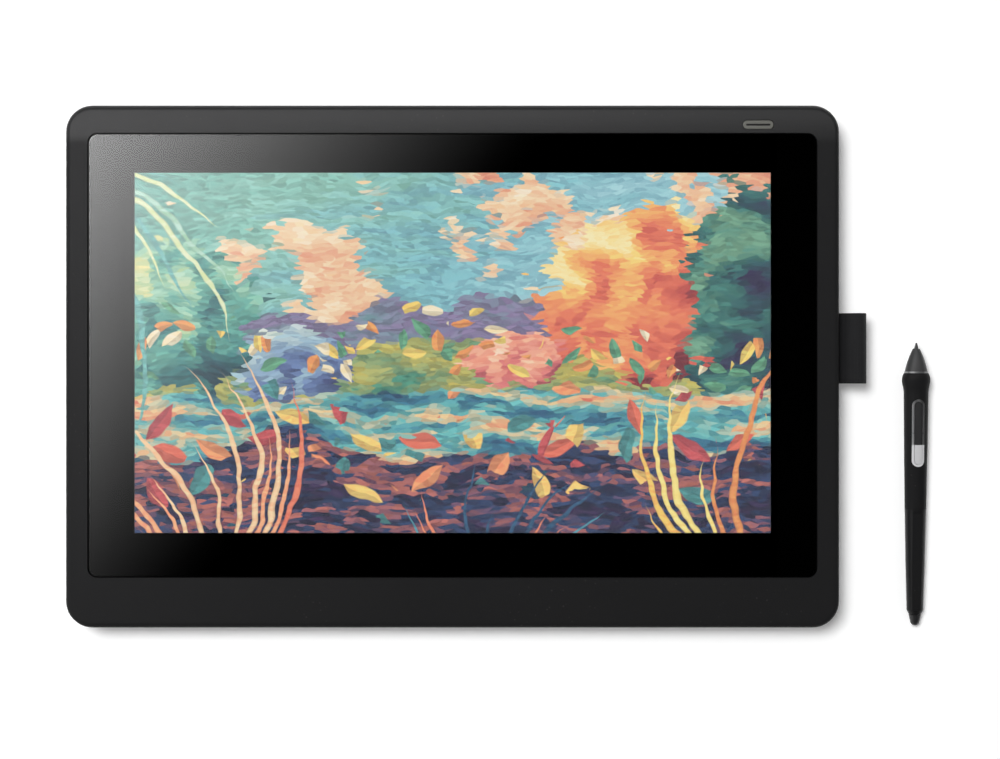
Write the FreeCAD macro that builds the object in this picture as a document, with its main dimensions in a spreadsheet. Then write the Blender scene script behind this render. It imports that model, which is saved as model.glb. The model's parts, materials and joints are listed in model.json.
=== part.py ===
import FreeCAD, Part
import math
import os
import Sketcher
from FreeCAD import Placement, Rotation, Vector

# A pen display: a flat case with a glass front and fold-out legs, a fabric pen loop on its
# right side, and the pen that lies beside it. Millimetres, +X to the right, +Y to the far
# edge and +Z up. Sizes count from the desk and from the middle of the case; the finished
# pieces are then set about the part's origin, on the desk under the middle of them all.

doc = FreeCAD.newDocument("PenDisplay")
sheet = doc.addObject("Spreadsheet::Sheet", "Sizes")

driving_sizes = (
    # picture, and what lies round it
    ("view_width", 344.2, "lit area"),
    ("view_height", 193.6, "lit area"),
    ("glass_side", 26.3, "glass beyond the lit area, left and right"),
    ("glass_far", 22.5, "glass beyond the lit area, far side"),
    ("glass_near", 25.4, "glass beyond the lit area, near side"),
    ("rim_side", 12.6, "case beyond the glass, left and right"),
    ("rim_far", 15.7, "case beyond the glass, far side"),
    ("rim_near", 27.8, "case beyond the glass, near side"),
    # case
    ("corner_radius", 14.5, "corners of the case"),
    ("foot_rise", 1.2, "desk to the rear cover"),
    ("parting_level", 12, "desk to the seam between frame and cover"),
    ("frame_wall", 2.4, "side wall of the front frame"),
    ("deck_thick", 3.5, "flat front of the frame"),
    ("edge_round", 3, "front edge of the frame"),
    ("cover_wall", 2.2, "floor of the rear cover"),
    ("base_inset", 12, "how far the cover narrows towards its base"),
    ("corner_ease", 0.35, "how fast the corners sharpen as the cover narrows"),
    ("base_round", 12, "radius between the cover's floor and its sloping sides"),
    ("hollow_step", 1, "extra inset of the cover's hollow at its floor"),
    ("lip_tall", 1.5, "locating lip above the seam"),
    ("lip_wall", 1.2, "thickness of the locating lip"),
    ("fit_gap", 0.1, "gap between case pieces that slide together"),
    ("cut_past", 1, "how far a cut runs past a face"),
    # display stack
    ("glass_corner", 5, "corners of the glass"),
    ("glass_thick", 1.5, "cover glass"),
    ("glass_sink", 0.3, "glass below the front of the frame"),
    ("glass_gap", 0.4, "gap round the glass"),
    ("glass_bevel", 0.4, "ground edge of the glass"),
    ("glue_thick", 0.3, "adhesive frame under the glass"),
    ("glue_inset", 0.8, "adhesive frame inside the edge of the glass"),
    ("view_margin", 1.5, "opening in the frame beyond the lit area"),
    ("cell_border", 4.5, "liquid crystal cell beyond the lit area"),
    ("cell_thick", 1.2, "liquid crystal cell"),
    ("guide_thick", 1.8, "light guide and its films"),
    ("led_deep", 3, "light bar along the light guide"),
    ("tray_sheet", 0.5, "sheet of the backlight tray"),
    ("tray_gap", 0.3, "gap round the cell in its tray"),
    ("sensor_border", 10, "pen sensor board beyond the lit area"),
    ("sensor_thick", 1, "pen sensor board"),
    ("shield_border", 11, "shield sheet beyond the lit area"),
    ("shield_thick", 0.5, "shield sheet"),
    ("chassis_side", 12, "chassis plate inside the case, left and right"),
    ("chassis_end", 17.5, "chassis plate inside the case, far and near"),
    ("chassis_thick", 1.2, "chassis plate"),
    ("chassis_corner", 8, "corners of the chassis plate"),
    # screws
    ("screw_inset", 22, "outer screws from the sides of the case"),
    ("screw_end", 24.5, "far and near screws from the ends of the case"),
    ("screw_side", 30, "side screws below the middle"),
    ("screw_near", 60, "near screws from the middle line"),
    ("screw_radius", 1.25, "shank of every screw"),
    ("screw_head", 2.4, "radius of a screw head"),
    ("screw_head_tall", 1.6, "height of a screw head"),
    ("screw_seat", 3.4, "seat of a case screw above the base"),
    ("screw_stop", 1.4, "end of a case screw below the front of the frame"),
    ("boss_radius", 3.2, "screw bosses"),
    ("thread_gap", 0.05, "hole round a screw's thread"),
    ("shank_gap", 0.3, "hole round a screw's free shank"),
    # boards
    ("board_width", 150, "main board"),
    ("board_height", 68, "main board"),
    ("board_setback", 1, "main board short of the cable channel"),
    ("board_clear", 0.2, "main board above the seam"),
    ("board_thick", 1.6, "main board"),
    ("standoff_tall", 1, "standoffs under the chassis plate"),
    ("standoff_inset", 6, "standoffs from the edges of the main board"),
    ("board_screw_bite", 1.8, "board screws above the main board"),
    ("chip_side", 16, "large chips on the main board"),
    ("chip_tall", 1.1, "large chips on the main board"),
    ("chip_spread", 38, "chips from each other"),
    ("driver_width", 260, "display driver board"),
    ("driver_height", 7, "display driver board"),
    ("driver_thick", 1, "display driver board"),
    ("driver_gap", 1.7, "driver board from the backlight tray"),
    ("flex_thick", 0.3, "flat cables"),
    ("flex_width", 20, "flat cables"),
    ("flex_place", 40, "flat cables from the middle line"),
    ("flex_away", 0.9, "flat cables beyond the display driver board"),
    ("flex_slot_gap", 0.8, "slot round a flat cable"),
    ("flex_lap", 6, "flat cable over the main board"),
    # cable channel and its socket
    ("channel_width", 28, "cable channel"),
    ("channel_long", 38.5, "cable channel, from the far edge of the case"),
    ("channel_roof", 10, "desk to the roof of the channel"),
    ("inner_wall", 2.5, "walls of the channel and the leg wells"),
    ("socket_width", 18, "cable socket"),
    ("socket_base", 5.6, "desk to the underside of the socket"),
    ("socket_nose_tall", 4, "part of the socket in the window"),
    ("socket_deep", 15, "socket front to back"),
    ("socket_mouth_width", 14, "opening of the socket"),
    ("socket_mouth_tall", 2.6, "opening of the socket"),
    ("socket_mouth_deep", 6, "opening of the socket"),
    ("socket_tongue", 0.8, "contact tongue in the socket"),
    ("socket_gap", 0.2, "window round the socket"),
    ("socket_proud", 0.5, "socket behind the window's face"),
    # legs
    ("leg_inset", 51, "middle of a leg from the side of the case"),
    ("leg_width", 34, "leg"),
    ("leg_reach", 84, "hinge to the tip of the leg"),
    ("leg_gap", 0.5, "gap beside a leg"),
    ("leg_tip_gap", 0.8, "gap round the ends of a leg"),
    ("leg_skin", 1.8, "outer skin of a leg"),
    ("leg_wall", 2, "side walls of a leg"),
    ("leg_tip_top", 2.2, "inner side of the tip above the hinge"),
    ("leg_corner", 3, "corners at the tip"),
    ("leg_round", 0.8, "edges of the outer skin"),
    ("knuckle_radius", 3.6, "round end of a leg at its hinge"),
    ("hinge_inset", 38.5, "hinge from the far edge of the case"),
    ("hinge_level", 5.2, "desk to the hinge"),
    ("pin_radius", 1.5, "hinge pin"),
    ("pin_gap", 0.05, "running gap round the hinge pin"),
    ("pin_bite", 2, "pin in each wall of the well"),
    ("well_deep", 8, "leg wells"),
    ("well_roof", 2, "roof of the leg wells"),
    ("rib_thick", 1.5, "ribs in a leg"),
    ("rib_first", 10, "first cell of a leg from the hinge"),
    ("rib_second", 30, "second rib from the hinge"),
    ("rib_third", 69, "third rib from the hinge"),
    ("leg_foot_long", 4, "rubber end of a leg"),
    ("leg_foot_inset", 2.5, "rubber end inside the sides of the leg"),
    ("leg_foot_round", 1, "edges of the rubber end"),
    ("scoop_width", 18, "finger scoop at a leg's tip"),
    ("scoop_long", 9, "finger scoop"),
    ("scoop_deep", 5, "finger scoop"),
    # nib store behind the left leg
    ("store_width", 16, "nib holder"),
    ("store_long", 18, "nib holder"),
    ("store_tall", 3.8, "nib holder"),
    ("store_start", 34, "nib holder from the hinge"),
    ("store_pitch", 4.4, "spare nibs from each other"),
    ("nib_proud", 4, "spare nibs out of their holder"),
    ("nib_bite", 14, "spare nibs in their holder"),
    ("ring_radius", 3.4, "nib removal ring"),
    ("ring_bore", 2, "nib removal ring"),
    ("ring_tall", 1.2, "nib removal ring"),
    ("ring_away", 5.2, "middle of the ring from the nibs"),
    # vents and feet
    ("vent_count", 12, "slots in each group"),
    ("vent_pitch", 4.5, "slots from each other"),
    ("vent_width", 1.8, "slot"),
    ("vent_long", 12, "slot"),
    ("vent_place", 50, "middle of a group from the middle line"),
    ("vent_inset", 24.5, "middle of a group from the far edge of the case"),
    ("foot_wide", 10, "rubber feet"),
    ("foot_seat", 0.8, "rubber feet in their seats"),
    ("near_foot_long", 60, "feet at the near edge"),
    ("near_foot_inset", 63, "feet at the near edge from the sides of the case"),
    ("far_foot_long", 40, "feet at the far edge"),
    ("far_foot_inset", 99, "feet at the far edge from the sides of the case"),
    ("foot_end", 24.5, "feet from the near and far edges of the case"),
    # power key
    ("key_inset", 44.4, "power key from the right side of the case"),
    ("key_down", 10.8, "power key from the far edge of the case"),
    ("key_width", 16.8, "power key"),
    ("key_height", 4.9, "power key"),
    ("key_gap", 0.2, "gap round the power key"),
    ("key_sink", 0.15, "power key below the front of the frame"),
    ("key_travel", 0.5, "power key"),
    ("key_round", 0.5, "edge of the power key"),
    ("flange_thick", 1, "flange that holds the key in"),
    ("flange_rim", 0.8, "flange beyond the key"),
    ("light_width", 13.2, "light slit in the key"),
    ("light_height", 1.1, "light slit in the key"),
    ("light_deep", 2, "light guide in the key"),
    ("switch_side", 6, "power switch"),
    ("switch_tall", 2.4, "power switch"),
    ("plunger_radius", 1.5, "plunger of the power switch"),
    ("plunger_bite", 1, "plunger in its switch"),
    ("key_board_width", 28, "power key board"),
    ("key_board_height", 8, "power key board"),
    ("key_board_thick", 1.2, "power key board"),
    ("key_boss_place", 11.6, "bosses of the key board from the key"),
    ("key_boss_radius", 1.6, "bosses of the key board"),
    ("key_flex_width", 6, "flat cable of the key board"),
    # pen loop
    ("loop_place", 10, "middle of the pen loop from the middle"),
    ("loop_width", 38.6, "ribbon of the loop"),
    ("loop_thick", 1.1, "ribbon of the loop"),
    ("loop_reach", 16, "loop beyond the case"),
    ("loop_radius", 4.5, "round end of the loop"),
    ("loop_slant", 19.25, "slope of the loop's two sides, degrees"),
    ("loop_rise", 4, "middle of the loop above the seam"),
    ("loop_tail", 4.8, "ends of the ribbon inside the wall"),
    ("ribbon_gap", 0.3, "gap round the ribbon in the wall"),
    ("anchor_wall", 1.2, "walls of the loop's anchor"),
    ("anchor_margin", 1.8, "anchor beyond the ribbon"),
    ("anchor_grip", 0.1, "gap between ribbon and anchor"),
    # pen, from its tip back
    ("pen_aside", 45.3, "pen from the right side of the case"),
    ("pen_tip", 13.2, "tip of the pen from the middle of the case"),
    ("pen_rest", 0.02, "pen above the desk"),
    ("end_gap", 0.3, "gap left at the end of a moving piece's travel"),
    ("nib_radius", 1.1, "nib"),
    ("nib_point", 0.6, "round point of the nib"),
    ("nib_cone", 2.8, "back of the nib's cone"),
    ("nib_hold", 8.4, "nib in its carrier"),
    ("nib_gap", 0.15, "nib in the nose"),
    ("nib_travel", 0.5, "nib"),
    ("nose_start", 3.2, "front of the nose"),
    ("nose_tip_radius", 1.85, "front of the nose"),
    ("nose_bow", 52, "radius of the bowed side of the nose"),
    ("nose_long", 12.6, "nose"),
    ("nose_end_radius", 6.2, "back of the nose"),
    ("ring_long", 0.9, "accent ring"),
    ("ring_outside", 6.45, "accent ring"),
    ("grip_front_radius", 6.6, "front of the grip"),
    ("flare_run", 3.8, "ring to the widest point of the grip"),
    ("flare_radius", 7.7, "widest point of the grip"),
    ("flare_fall", 3.1, "widest point to the back of the flare"),
    ("flare_back_radius", 7.35, "back of the flare"),
    ("waist_run", 4.6, "back of the flare to the waist"),
    ("waist_radius", 6.68, "waist behind the flare"),
    ("waist_sweep", 16, "radius of the sweep into the waist"),
    ("grip_front_long", 31.8, "waist to the middle of the grip"),
    ("grip_mid_radius", 6.33, "middle of the grip"),
    ("grip_back_long", 32, "middle of the grip to the barrel"),
    ("grip_end_radius", 5.86, "seam between grip and barrel"),
    ("barrel_front_long", 28, "seam to the middle of the barrel"),
    ("barrel_mid_radius", 5.3, "middle of the barrel"),
    ("barrel_back_long", 28.2, "middle of the barrel to its tail"),
    ("barrel_tail_radius", 4.5, "tail of the barrel"),
    ("barrel_end_long", 2.1, "tail of the barrel to its end"),
    ("barrel_end_radius", 3.5, "end of the barrel"),
    ("barrel_flat", 0.62, "depth of the flat along the barrel"),
    ("flat_setback", 2, "front of the flat behind the seam"),
    ("core_radius", 4.8, "tube inside the grip"),
    ("core_bore", 4, "bore of that tube"),
    ("carrier_setback", 4, "nib carrier behind the front of the nose"),
    ("carrier_radius", 2.4, "nib carrier"),
    ("carrier_long", 10.4, "nib carrier"),
    ("carrier_gap", 0.15, "nib carrier in the nose"),
    ("rod_radius", 0.9, "rod behind the nib carrier"),
    ("rod_proud", 0.4, "rod behind the ferrite"),
    ("rod_gap", 0.2, "rod in the ferrite"),
    ("ferrite_long", 10.8, "ferrite"),
    ("ferrite_radius", 2.9, "ferrite"),
    ("winding_inset", 1, "winding from the ends of the ferrite"),
    ("winding_gap", 0.1, "winding in the tube"),
    ("force_long", 5.2, "pressure sensor"),
    ("pen_board_long", 52, "circuit board"),
    ("pen_board_width", 6, "circuit board"),
    ("pen_board_level", 1.4, "circuit board above the axis"),
    ("pen_board_thick", 0.8, "circuit board"),
    ("dome_radius", 1.6, "switch domes"),
    ("dome_tall", 1.8, "switch domes"),
    ("dome_inset", 5.2, "switch domes from the ends of the side switch"),
    ("rocker_setback", 4.2, "side switch behind the waist"),
    ("rocker_dark_long", 23.8, "side switch, dark stretch"),
    ("rocker_pale_long", 10.8, "side switch, pale stretch"),
    ("rocker_width", 4.2, "side switch"),
    ("rocker_base", 4.95, "underside of the side switch above the axis"),
    ("rocker_proud", 0.55, "side switch above the grip"),
    ("rocker_gap", 0.2, "gap round the side switch"),
    ("trunnion_radius", 0.5, "pivot of the side switch"),
    ("trunnion_level", 5.6, "pivot above the axis"),
    ("trunnion_bite", 0.7, "pivot in the bezel"),
    ("bezel_rim", 1.1, "bezel round the side switch"),
    ("bezel_proud", 0.25, "bezel above the grip"),
    ("eraser_radius", 3.4, "front of the eraser"),
    ("eraser_proud", 6.6, "eraser beyond the barrel"),
    ("eraser_cap_long", 1.94, "round end of the eraser"),
    ("eraser_cap_radius", 2.44, "front of the round end"),
    ("eraser_stem_radius", 2, "stem of the eraser"),
    ("eraser_stem_bite", 6, "stem of the eraser in the barrel"),
    ("eraser_gap", 0.1, "stem in the barrel"),
    ("eraser_travel", 0.5, "eraser"),
    ("eraser_core_long", 6.4, "ferrite of the eraser"),
    ("eraser_core_radius", 2.8, "ferrite of the eraser"),
    ("core_shoulder", 0.8, "wide bore ahead of the eraser's ferrite"),
)


class Size:
    """A length as a number, with the sheet formula that it comes from."""

    def __init__(self, number, formula):
        self.number = number
        self.formula = formula

    def __add__(self, other):
        return combine(self, other, "+", lambda a, b: a + b)

    def __radd__(self, other):
        return as_size(other) + self

    def __sub__(self, other):
        return combine(self, other, "-", lambda a, b: a - b)

    def __rsub__(self, other):
        return as_size(other) - self

    def __mul__(self, other):
        return combine(self, other, "*", lambda a, b: a * b)

    def __rmul__(self, other):
        return as_size(other) * self

    def __truediv__(self, other):
        return combine(self, other, "/", lambda a, b: a / b)

    def __neg__(self):
        return Size(-self.number, "(-%s)" % self.formula)


def as_size(value):
    if isinstance(value, Size):
        return value
    return Size(value, "(%s)" % value)


def combine(first, second, sign, work):
    first = as_size(first)
    second = as_size(second)
    formula = "(%s %s %s)" % (first.formula, sign, second.formula)
    return Size(work(first.number, second.number), formula)


def sine(angle):
    return Size(math.sin(math.radians(angle.number)), "sin(%s)" % angle.formula)


def cosine(angle):
    return Size(math.cos(math.radians(angle.number)), "cos(%s)" % angle.formula)


def degrees(size):
    return Size(size.number, "(%s * 1 deg)" % size.formula)


def slope_angle(rise, run):
    ratio = rise / run
    return Size(math.degrees(math.atan(ratio.number)), "atan(%s)" % ratio.formula)


class Sheet:
    """The driving sizes by name."""


size = Sheet()
for row, (alias, number, note) in enumerate(driving_sizes, start=1):
    sheet.set("A%d" % row, note)
    sheet.set("B%d" % row, str(number))
    sheet.setAlias("B%d" % row, alias)
    setattr(size, alias, Size(number, "Sizes." + alias))
doc.recompute()

# Levels above the desk, from the feet up to the front of the case

base = size.foot_rise
parting = size.parting_level
well_top = base + size.well_deep
channel_roof = size.channel_roof
board_low = parting + size.board_clear
board_top = board_low + size.board_thick
chassis_low = board_top + size.standoff_tall
shield_low = chassis_low + size.chassis_thick
sensor_low = shield_low + size.shield_thick
tray_low = sensor_low + size.sensor_thick
guide_low = tray_low + size.tray_sheet
cell_low = guide_low + size.guide_thick
deck_low = cell_low + size.cell_thick
top = deck_low + size.deck_thick
glass_top = top - size.glass_sink
glass_low = glass_top - size.glass_thick
glue_low = glass_low - size.glue_thick
screw_top = deck_low - size.screw_stop
loop_level = parting + size.loop_rise
key_top = top - size.key_sink
flange_top = deck_low - size.fit_gap
flange_low = flange_top - size.flange_thick
key_board_low = board_top + size.flex_thick
key_board_top = key_board_low + size.key_board_thick

# Places from the middle of the case

glass_width = size.view_width + 2 * size.glass_side
glass_height = size.view_height + size.glass_far + size.glass_near
glass_offset = (size.rim_near - size.rim_far) / 2
view_offset = glass_offset + (size.glass_near - size.glass_far) / 2
body_width = glass_width + 2 * size.rim_side
body_height = glass_height + size.rim_far + size.rim_near
half_width = body_width / 2
half_height = body_height / 2
channel_start = half_height - size.channel_long
hinge_up = half_height - size.hinge_inset
leg_place = half_width - size.leg_inset
key_place = half_width - size.key_inset
key_up = half_height - size.key_down
board_place = channel_start - size.board_setback - size.board_height / 2
tray_far = (view_offset + size.view_height / 2 + size.cell_border + size.tray_gap
            + size.tray_sheet)
driver_near = tray_far + size.driver_gap
flex_run = driver_near + size.driver_height + size.flex_away
screw_across = half_width - size.screw_inset
screw_up = half_height - size.screw_end

screw_places = [
    (-screw_across, screw_up),
    (screw_across, screw_up),
    (-screw_across, -size.screw_side),
    (screw_across, -size.screw_side),
    (-screw_across, -screw_up),
    (screw_across, -screw_up),
    (-size.screw_near, -screw_up),
    (size.screw_near, -screw_up),
]
board_screw_places = [
    (side * (size.board_width / 2 - size.standoff_inset),
     board_place + end * (size.board_height / 2 - size.standoff_inset))
    for side in (-1, 1)
    for end in (-1, 1)
]

# Outlines are closed runs of points. A point with a third value is reached by an arc of
# that radius, to the left of the way along for a positive one and to the right otherwise.


def box(left, low, right, high):
    return [(left, low), (right, low), (right, high), (left, high)]


def block(x, y, width, height):
    return box(x - width / 2, y - height / 2, x + width / 2, y + height / 2)


def rounded(x, y, width, height, radius):
    left = x - width / 2
    right = x + width / 2
    low = y - height / 2
    high = y + height / 2
    return [
        (left + radius, low, radius),
        (right - radius, low),
        (right, low + radius, radius),
        (right, high - radius),
        (right - radius, high, radius),
        (left + radius, high),
        (left, high - radius, radius),
        (left, low + radius),
    ]


def pill(x, y, length, width):
    """A slot shape along X."""
    radius = width / 2
    left = x - length / 2
    right = x + length / 2
    return [
        (left + radius, y - radius, radius),
        (right - radius, y - radius),
        (right, y, radius),
        (right - radius, y + radius, radius),
        (left + radius, y + radius),
        (left, y, radius),
    ]


def turned(outline):
    """The same outline with X and Y exchanged, still running anticlockwise."""
    arcs = [point[2:] for point in outline]
    swapped = [(point[1], point[0]) for point in outline]
    shifted = arcs[1:] + arcs[:1]
    return [place + arc for place, arc in zip(reversed(swapped), reversed(shifted))]


def new_body(label):
    body = doc.addObject("PartDesign::Body", label)
    body.Label = label
    return body


# Where finished pieces that aren't drawn in place go, and their turn about X
spots = {}


def bind(item, **values):
    for name, value in values.items():
        value = as_size(value)
        setattr(item, name, value.number)
        item.setExpression(name, value.formula)


def origin_plane(body, role):
    return [feature for feature in body.Origin.OriginFeatures if feature.Role == role][0]


def fix(held, kind, geometry, point, value):
    """Holds one coordinate of a point, or a radius where point is None."""
    value = as_size(value)
    if point is None:
        constraint = Sketcher.Constraint(kind, geometry, value.number)
    else:
        constraint = Sketcher.Constraint(kind, geometry, point, value.number)
    held.append((constraint, value.formula))


def arc_between(start, end, radius):
    """The anticlockwise arc from start to end."""
    chord = end - start
    half = chord.Length / 2
    lift = math.sqrt(max(radius * radius - half * half, 0))
    centre = (start + end) * 0.5 + Vector(-chord.y, chord.x, 0).normalize() * lift
    first = math.atan2(start.y - centre.y, start.x - centre.x)
    last = math.atan2(end.y - centre.y, end.x - centre.x)
    return Part.ArcOfCircle(Part.Circle(centre, Vector(0, 0, 1), radius), first, last)


def draw_outline(sketch, held, outline):
    places = [tuple(as_size(value) for value in point) for point in outline]
    spots = [Vector(place[0].number, place[1].number, 0) for place in places]
    starts = []
    ends = []
    for index, spot in enumerate(spots):
        target = (index + 1) % len(spots)
        bend = places[target][2] if len(places[target]) > 2 else None
        if bend is None:
            edge = sketch.addGeometry(Part.LineSegment(spot, spots[target]), False)
            starts.append((edge, 1))
            ends.append((edge, 2))
        elif bend.number > 0:
            edge = sketch.addGeometry(arc_between(spot, spots[target], bend.number), False)
            starts.append((edge, 1))
            ends.append((edge, 2))
            fix(held, "Radius", edge, None, bend)
        else:
            edge = sketch.addGeometry(arc_between(spots[target], spot, -bend.number), False)
            starts.append((edge, 2))
            ends.append((edge, 1))
            fix(held, "Radius", edge, None, -bend)
    for index, place in enumerate(places):
        edge, point = starts[index]
        before, last = ends[index - 1]
        held.append((Sketcher.Constraint("Coincident", before, last, edge, point), None))
        fix(held, "DistanceX", edge, point, place[0])
        fix(held, "DistanceY", edge, point, place[1])


def draw_circle(sketch, held, circle):
    x, y, radius = [as_size(value) for value in circle]
    shape = Part.Circle(Vector(x.number, y.number, 0), Vector(0, 0, 1), radius.number)
    edge = sketch.addGeometry(shape, False)
    fix(held, "Radius", edge, None, radius)
    fix(held, "DistanceX", edge, 3, x)
    fix(held, "DistanceY", edge, 3, y)


def draw(body, name, outlines=(), circles=(), plane="XY_Plane", level=0):
    sketch = body.newObject("Sketcher::SketchObject", name)
    sketch.AttachmentSupport = (origin_plane(body, plane), [""])
    sketch.MapMode = "FlatFace"
    level = as_size(level)
    sketch.AttachmentOffset = Placement(Vector(0, 0, level.number), Rotation())
    sketch.setExpression("AttachmentOffset.Base.z", level.formula)
    held = []
    for outline in outlines:
        draw_outline(sketch, held, outline)
    for circle in circles:
        draw_circle(sketch, held, circle)
    sketch.addConstraint([constraint for constraint, formula in held])
    for index, (constraint, formula) in enumerate(held):
        if formula:
            sketch.setExpression("Constraints[%d]" % index, formula)
    return sketch


def pad(body, name, low, high, outlines=(), circles=(), plane="XY_Plane"):
    """Adds the outline between two places along the axis square to its plane."""
    level = -as_size(high) if plane == "XZ_Plane" else low
    feature = body.newObject("PartDesign::Pad", name)
    feature.Profile = draw(body, name + "Outline", outlines, circles, plane, level)
    bind(feature, Length=as_size(high) - low)
    return feature


def pocket(body, name, low, high, outlines=(), circles=(), plane="XY_Plane"):
    """Cuts the outline away between two places along the axis square to its plane."""
    level = -as_size(low) if plane == "XZ_Plane" else high
    feature = body.newObject("PartDesign::Pocket", name)
    feature.Profile = draw(body, name + "Outline", outlines, circles, plane, level)
    bind(feature, Length=as_size(high) - low)
    return feature


def revolve(body, name, outline):
    """Turns an outline drawn in the YZ plane about the Y axis."""
    sketch = draw(body, name + "Outline", [outline], plane="YZ_Plane")
    feature = body.newObject("PartDesign::Revolution", name)
    feature.Profile = sketch
    feature.ReferenceAxis = (sketch, ["H_Axis"])
    feature.Angle = 360
    return feature


def chosen_edges(shape, chosen):
    return ["Edge%d" % (index + 1) for index, edge in enumerate(shape.Edges) if chosen(edge)]


def fillet(body, name, radius, chosen):
    doc.recompute()
    last = body.Tip
    feature = body.newObject("PartDesign::Fillet", name)
    feature.Base = (last, chosen_edges(last.Shape, chosen))
    bind(feature, Radius=radius)


def chamfer(body, name, width, chosen):
    doc.recompute()
    last = body.Tip
    feature = body.newObject("PartDesign::Chamfer", name)
    feature.Base = (last, chosen_edges(last.Shape, chosen))
    bind(feature, Size=width)


def near(first, second):
    return abs(first - as_size(second).number) < 1e-4


def flat_at(edge, low):
    """True for an edge that lies wholly at one height."""
    bounds = edge.BoundBox
    return near(bounds.ZMin, low) and near(bounds.ZMax, low)


def row(body, name, feature, count, pitch):
    """Repeats a feature along X."""
    doc.recompute()
    pattern = body.newObject("PartDesign::LinearPattern", name)
    pattern.Originals = [feature]
    pattern.Direction = (feature.Profile[0], ["H_Axis"])
    pattern.Mode = "Spacing"
    pattern.Occurrences = int(count.number)
    bind(pattern, Offset=pitch)
    pattern.setExpression("Occurrences", count.formula)
    body.Tip = pattern


def loft(body, name, kind, outlines_by_level):
    sections = [
        draw(body, "%sSection%d" % (name, index + 1), [outline], level=level)
        for index, (level, outline) in enumerate(outlines_by_level)
    ]
    feature = body.newObject(kind, name)
    feature.Profile = sections[0]
    feature.Sections = sections[1:]
    feature.Ruled = True
    return feature


# Front of the case


def case_outline(inset):
    return rounded(0, 0, body_width - 2 * inset, body_height - 2 * inset,
                   size.corner_radius - inset)


def glass_outline(growth):
    return rounded(0, glass_offset, glass_width + 2 * growth,
                   glass_height + 2 * growth, size.glass_corner + growth)


def view_outline(growth):
    return block(0, view_offset, size.view_width + 2 * growth,
                 size.view_height + 2 * growth)


def key_outline(growth):
    return pill(key_place, key_up, size.key_width + 2 * growth,
                size.key_height + 2 * growth)


def make_front_frame():
    frame = new_body("front_frame")
    pad(frame, "FrameBlank", parting, top, [case_outline(0)])
    fillet(frame, "FrameEdge", size.edge_round, lambda edge: flat_at(edge, top))
    pocket(frame, "FrameHollow", parting, deck_low, [case_outline(size.frame_wall)])
    pocket(frame, "GlassSeat", glue_low, top, [glass_outline(size.glass_gap)])
    pocket(frame, "ViewOpening", deck_low, glue_low, [view_outline(size.view_margin)])
    bore = size.screw_radius + size.thread_gap
    rings = [(x, y, radius) for x, y in screw_places for radius in (size.boss_radius, bore)]
    pad(frame, "ScrewBosses", shield_low, deck_low, circles=rings)
    posts = [
        (key_place + side * size.key_boss_place, key_up, size.key_boss_radius)
        for side in (-1, 1)
    ]
    pad(frame, "KeyBoardBosses", key_board_top, deck_low, circles=posts)
    pocket(frame, "KeyHole", deck_low, top, [key_outline(size.key_gap)])
    slot_half = size.loop_thick + size.ribbon_gap
    slot = box(size.loop_place - size.loop_width / 2 - size.ribbon_gap,
               loop_level - slot_half,
               size.loop_place + size.loop_width / 2 + size.ribbon_gap,
               loop_level + slot_half)
    pocket(frame, "LoopSlot", half_width - size.frame_wall, half_width, [slot],
           plane="YZ_Plane")


def make_glass():
    glass = new_body("cover_glass")
    pad(glass, "Glass", glass_low, glass_top, [glass_outline(0)])
    chamfer(glass, "GlassBevel", size.glass_bevel, lambda edge: flat_at(edge, glass_top))
    glue = new_body("glass_adhesive")
    pad(glue, "Adhesive", glue_low, glass_low,
        [glass_outline(-size.glue_inset), view_outline(size.view_margin)])


# Display stack


def cell_outline(growth):
    return view_outline(size.cell_border + growth)


def make_display():
    cell = new_body("lcd_cell")
    pad(cell, "Cell", cell_low, deck_low, [cell_outline(0)])
    cell_half_width = size.view_width / 2 + size.cell_border
    cell_near = view_offset - size.view_height / 2 - size.cell_border
    cell_far = view_offset + size.view_height / 2 + size.cell_border
    guide = new_body("light_guide")
    pad(guide, "Guide", guide_low, cell_low,
        [box(-cell_half_width, cell_near + size.led_deep, cell_half_width, cell_far)])
    bar = new_body("light_bar")
    pad(bar, "Bar", guide_low, cell_low,
        [box(-cell_half_width, cell_near, cell_half_width, cell_near + size.led_deep)])
    tray = new_body("backlight_tray")
    pad(tray, "TrayBlank", tray_low, deck_low, [cell_outline(size.tray_gap + size.tray_sheet)])
    pocket(tray, "TrayHollow", guide_low, deck_low, [cell_outline(size.tray_gap)])
    sensor = new_body("pen_sensor_board")
    pad(sensor, "Sensor", sensor_low, tray_low, [view_outline(size.sensor_border)])
    shield = new_body("shield_sheet")
    pad(shield, "Shield", shield_low, sensor_low, [view_outline(size.shield_border)])


# Chassis, boards and flat cables


def flex_slots(growth):
    near_side = flex_run - size.flex_thick - growth
    far_side = flex_run + growth
    half = size.flex_width / 2 + growth
    return [
        box(side * size.flex_place - half, near_side, side * size.flex_place + half, far_side)
        for side in (-1, 1)
    ]


def make_chassis():
    chassis = new_body("chassis_plate")
    clear = size.screw_radius + size.shank_gap
    holes = [(x, y, clear) for x, y in screw_places]
    plate = rounded(0, 0, body_width - 2 * size.chassis_side,
                    body_height - 2 * size.chassis_end, size.chassis_corner)
    pad(chassis, "Plate", chassis_low, shield_low, [plate] + flex_slots(size.flex_slot_gap),
        holes)
    standoffs = [(x, y, size.boss_radius) for x, y in board_screw_places]
    pad(chassis, "Standoffs", board_top, chassis_low, circles=standoffs)
    threads = [(x, y, size.screw_radius + size.thread_gap) for x, y in board_screw_places]
    pocket(chassis, "StandoffThreads", board_top, shield_low, circles=threads)


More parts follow.
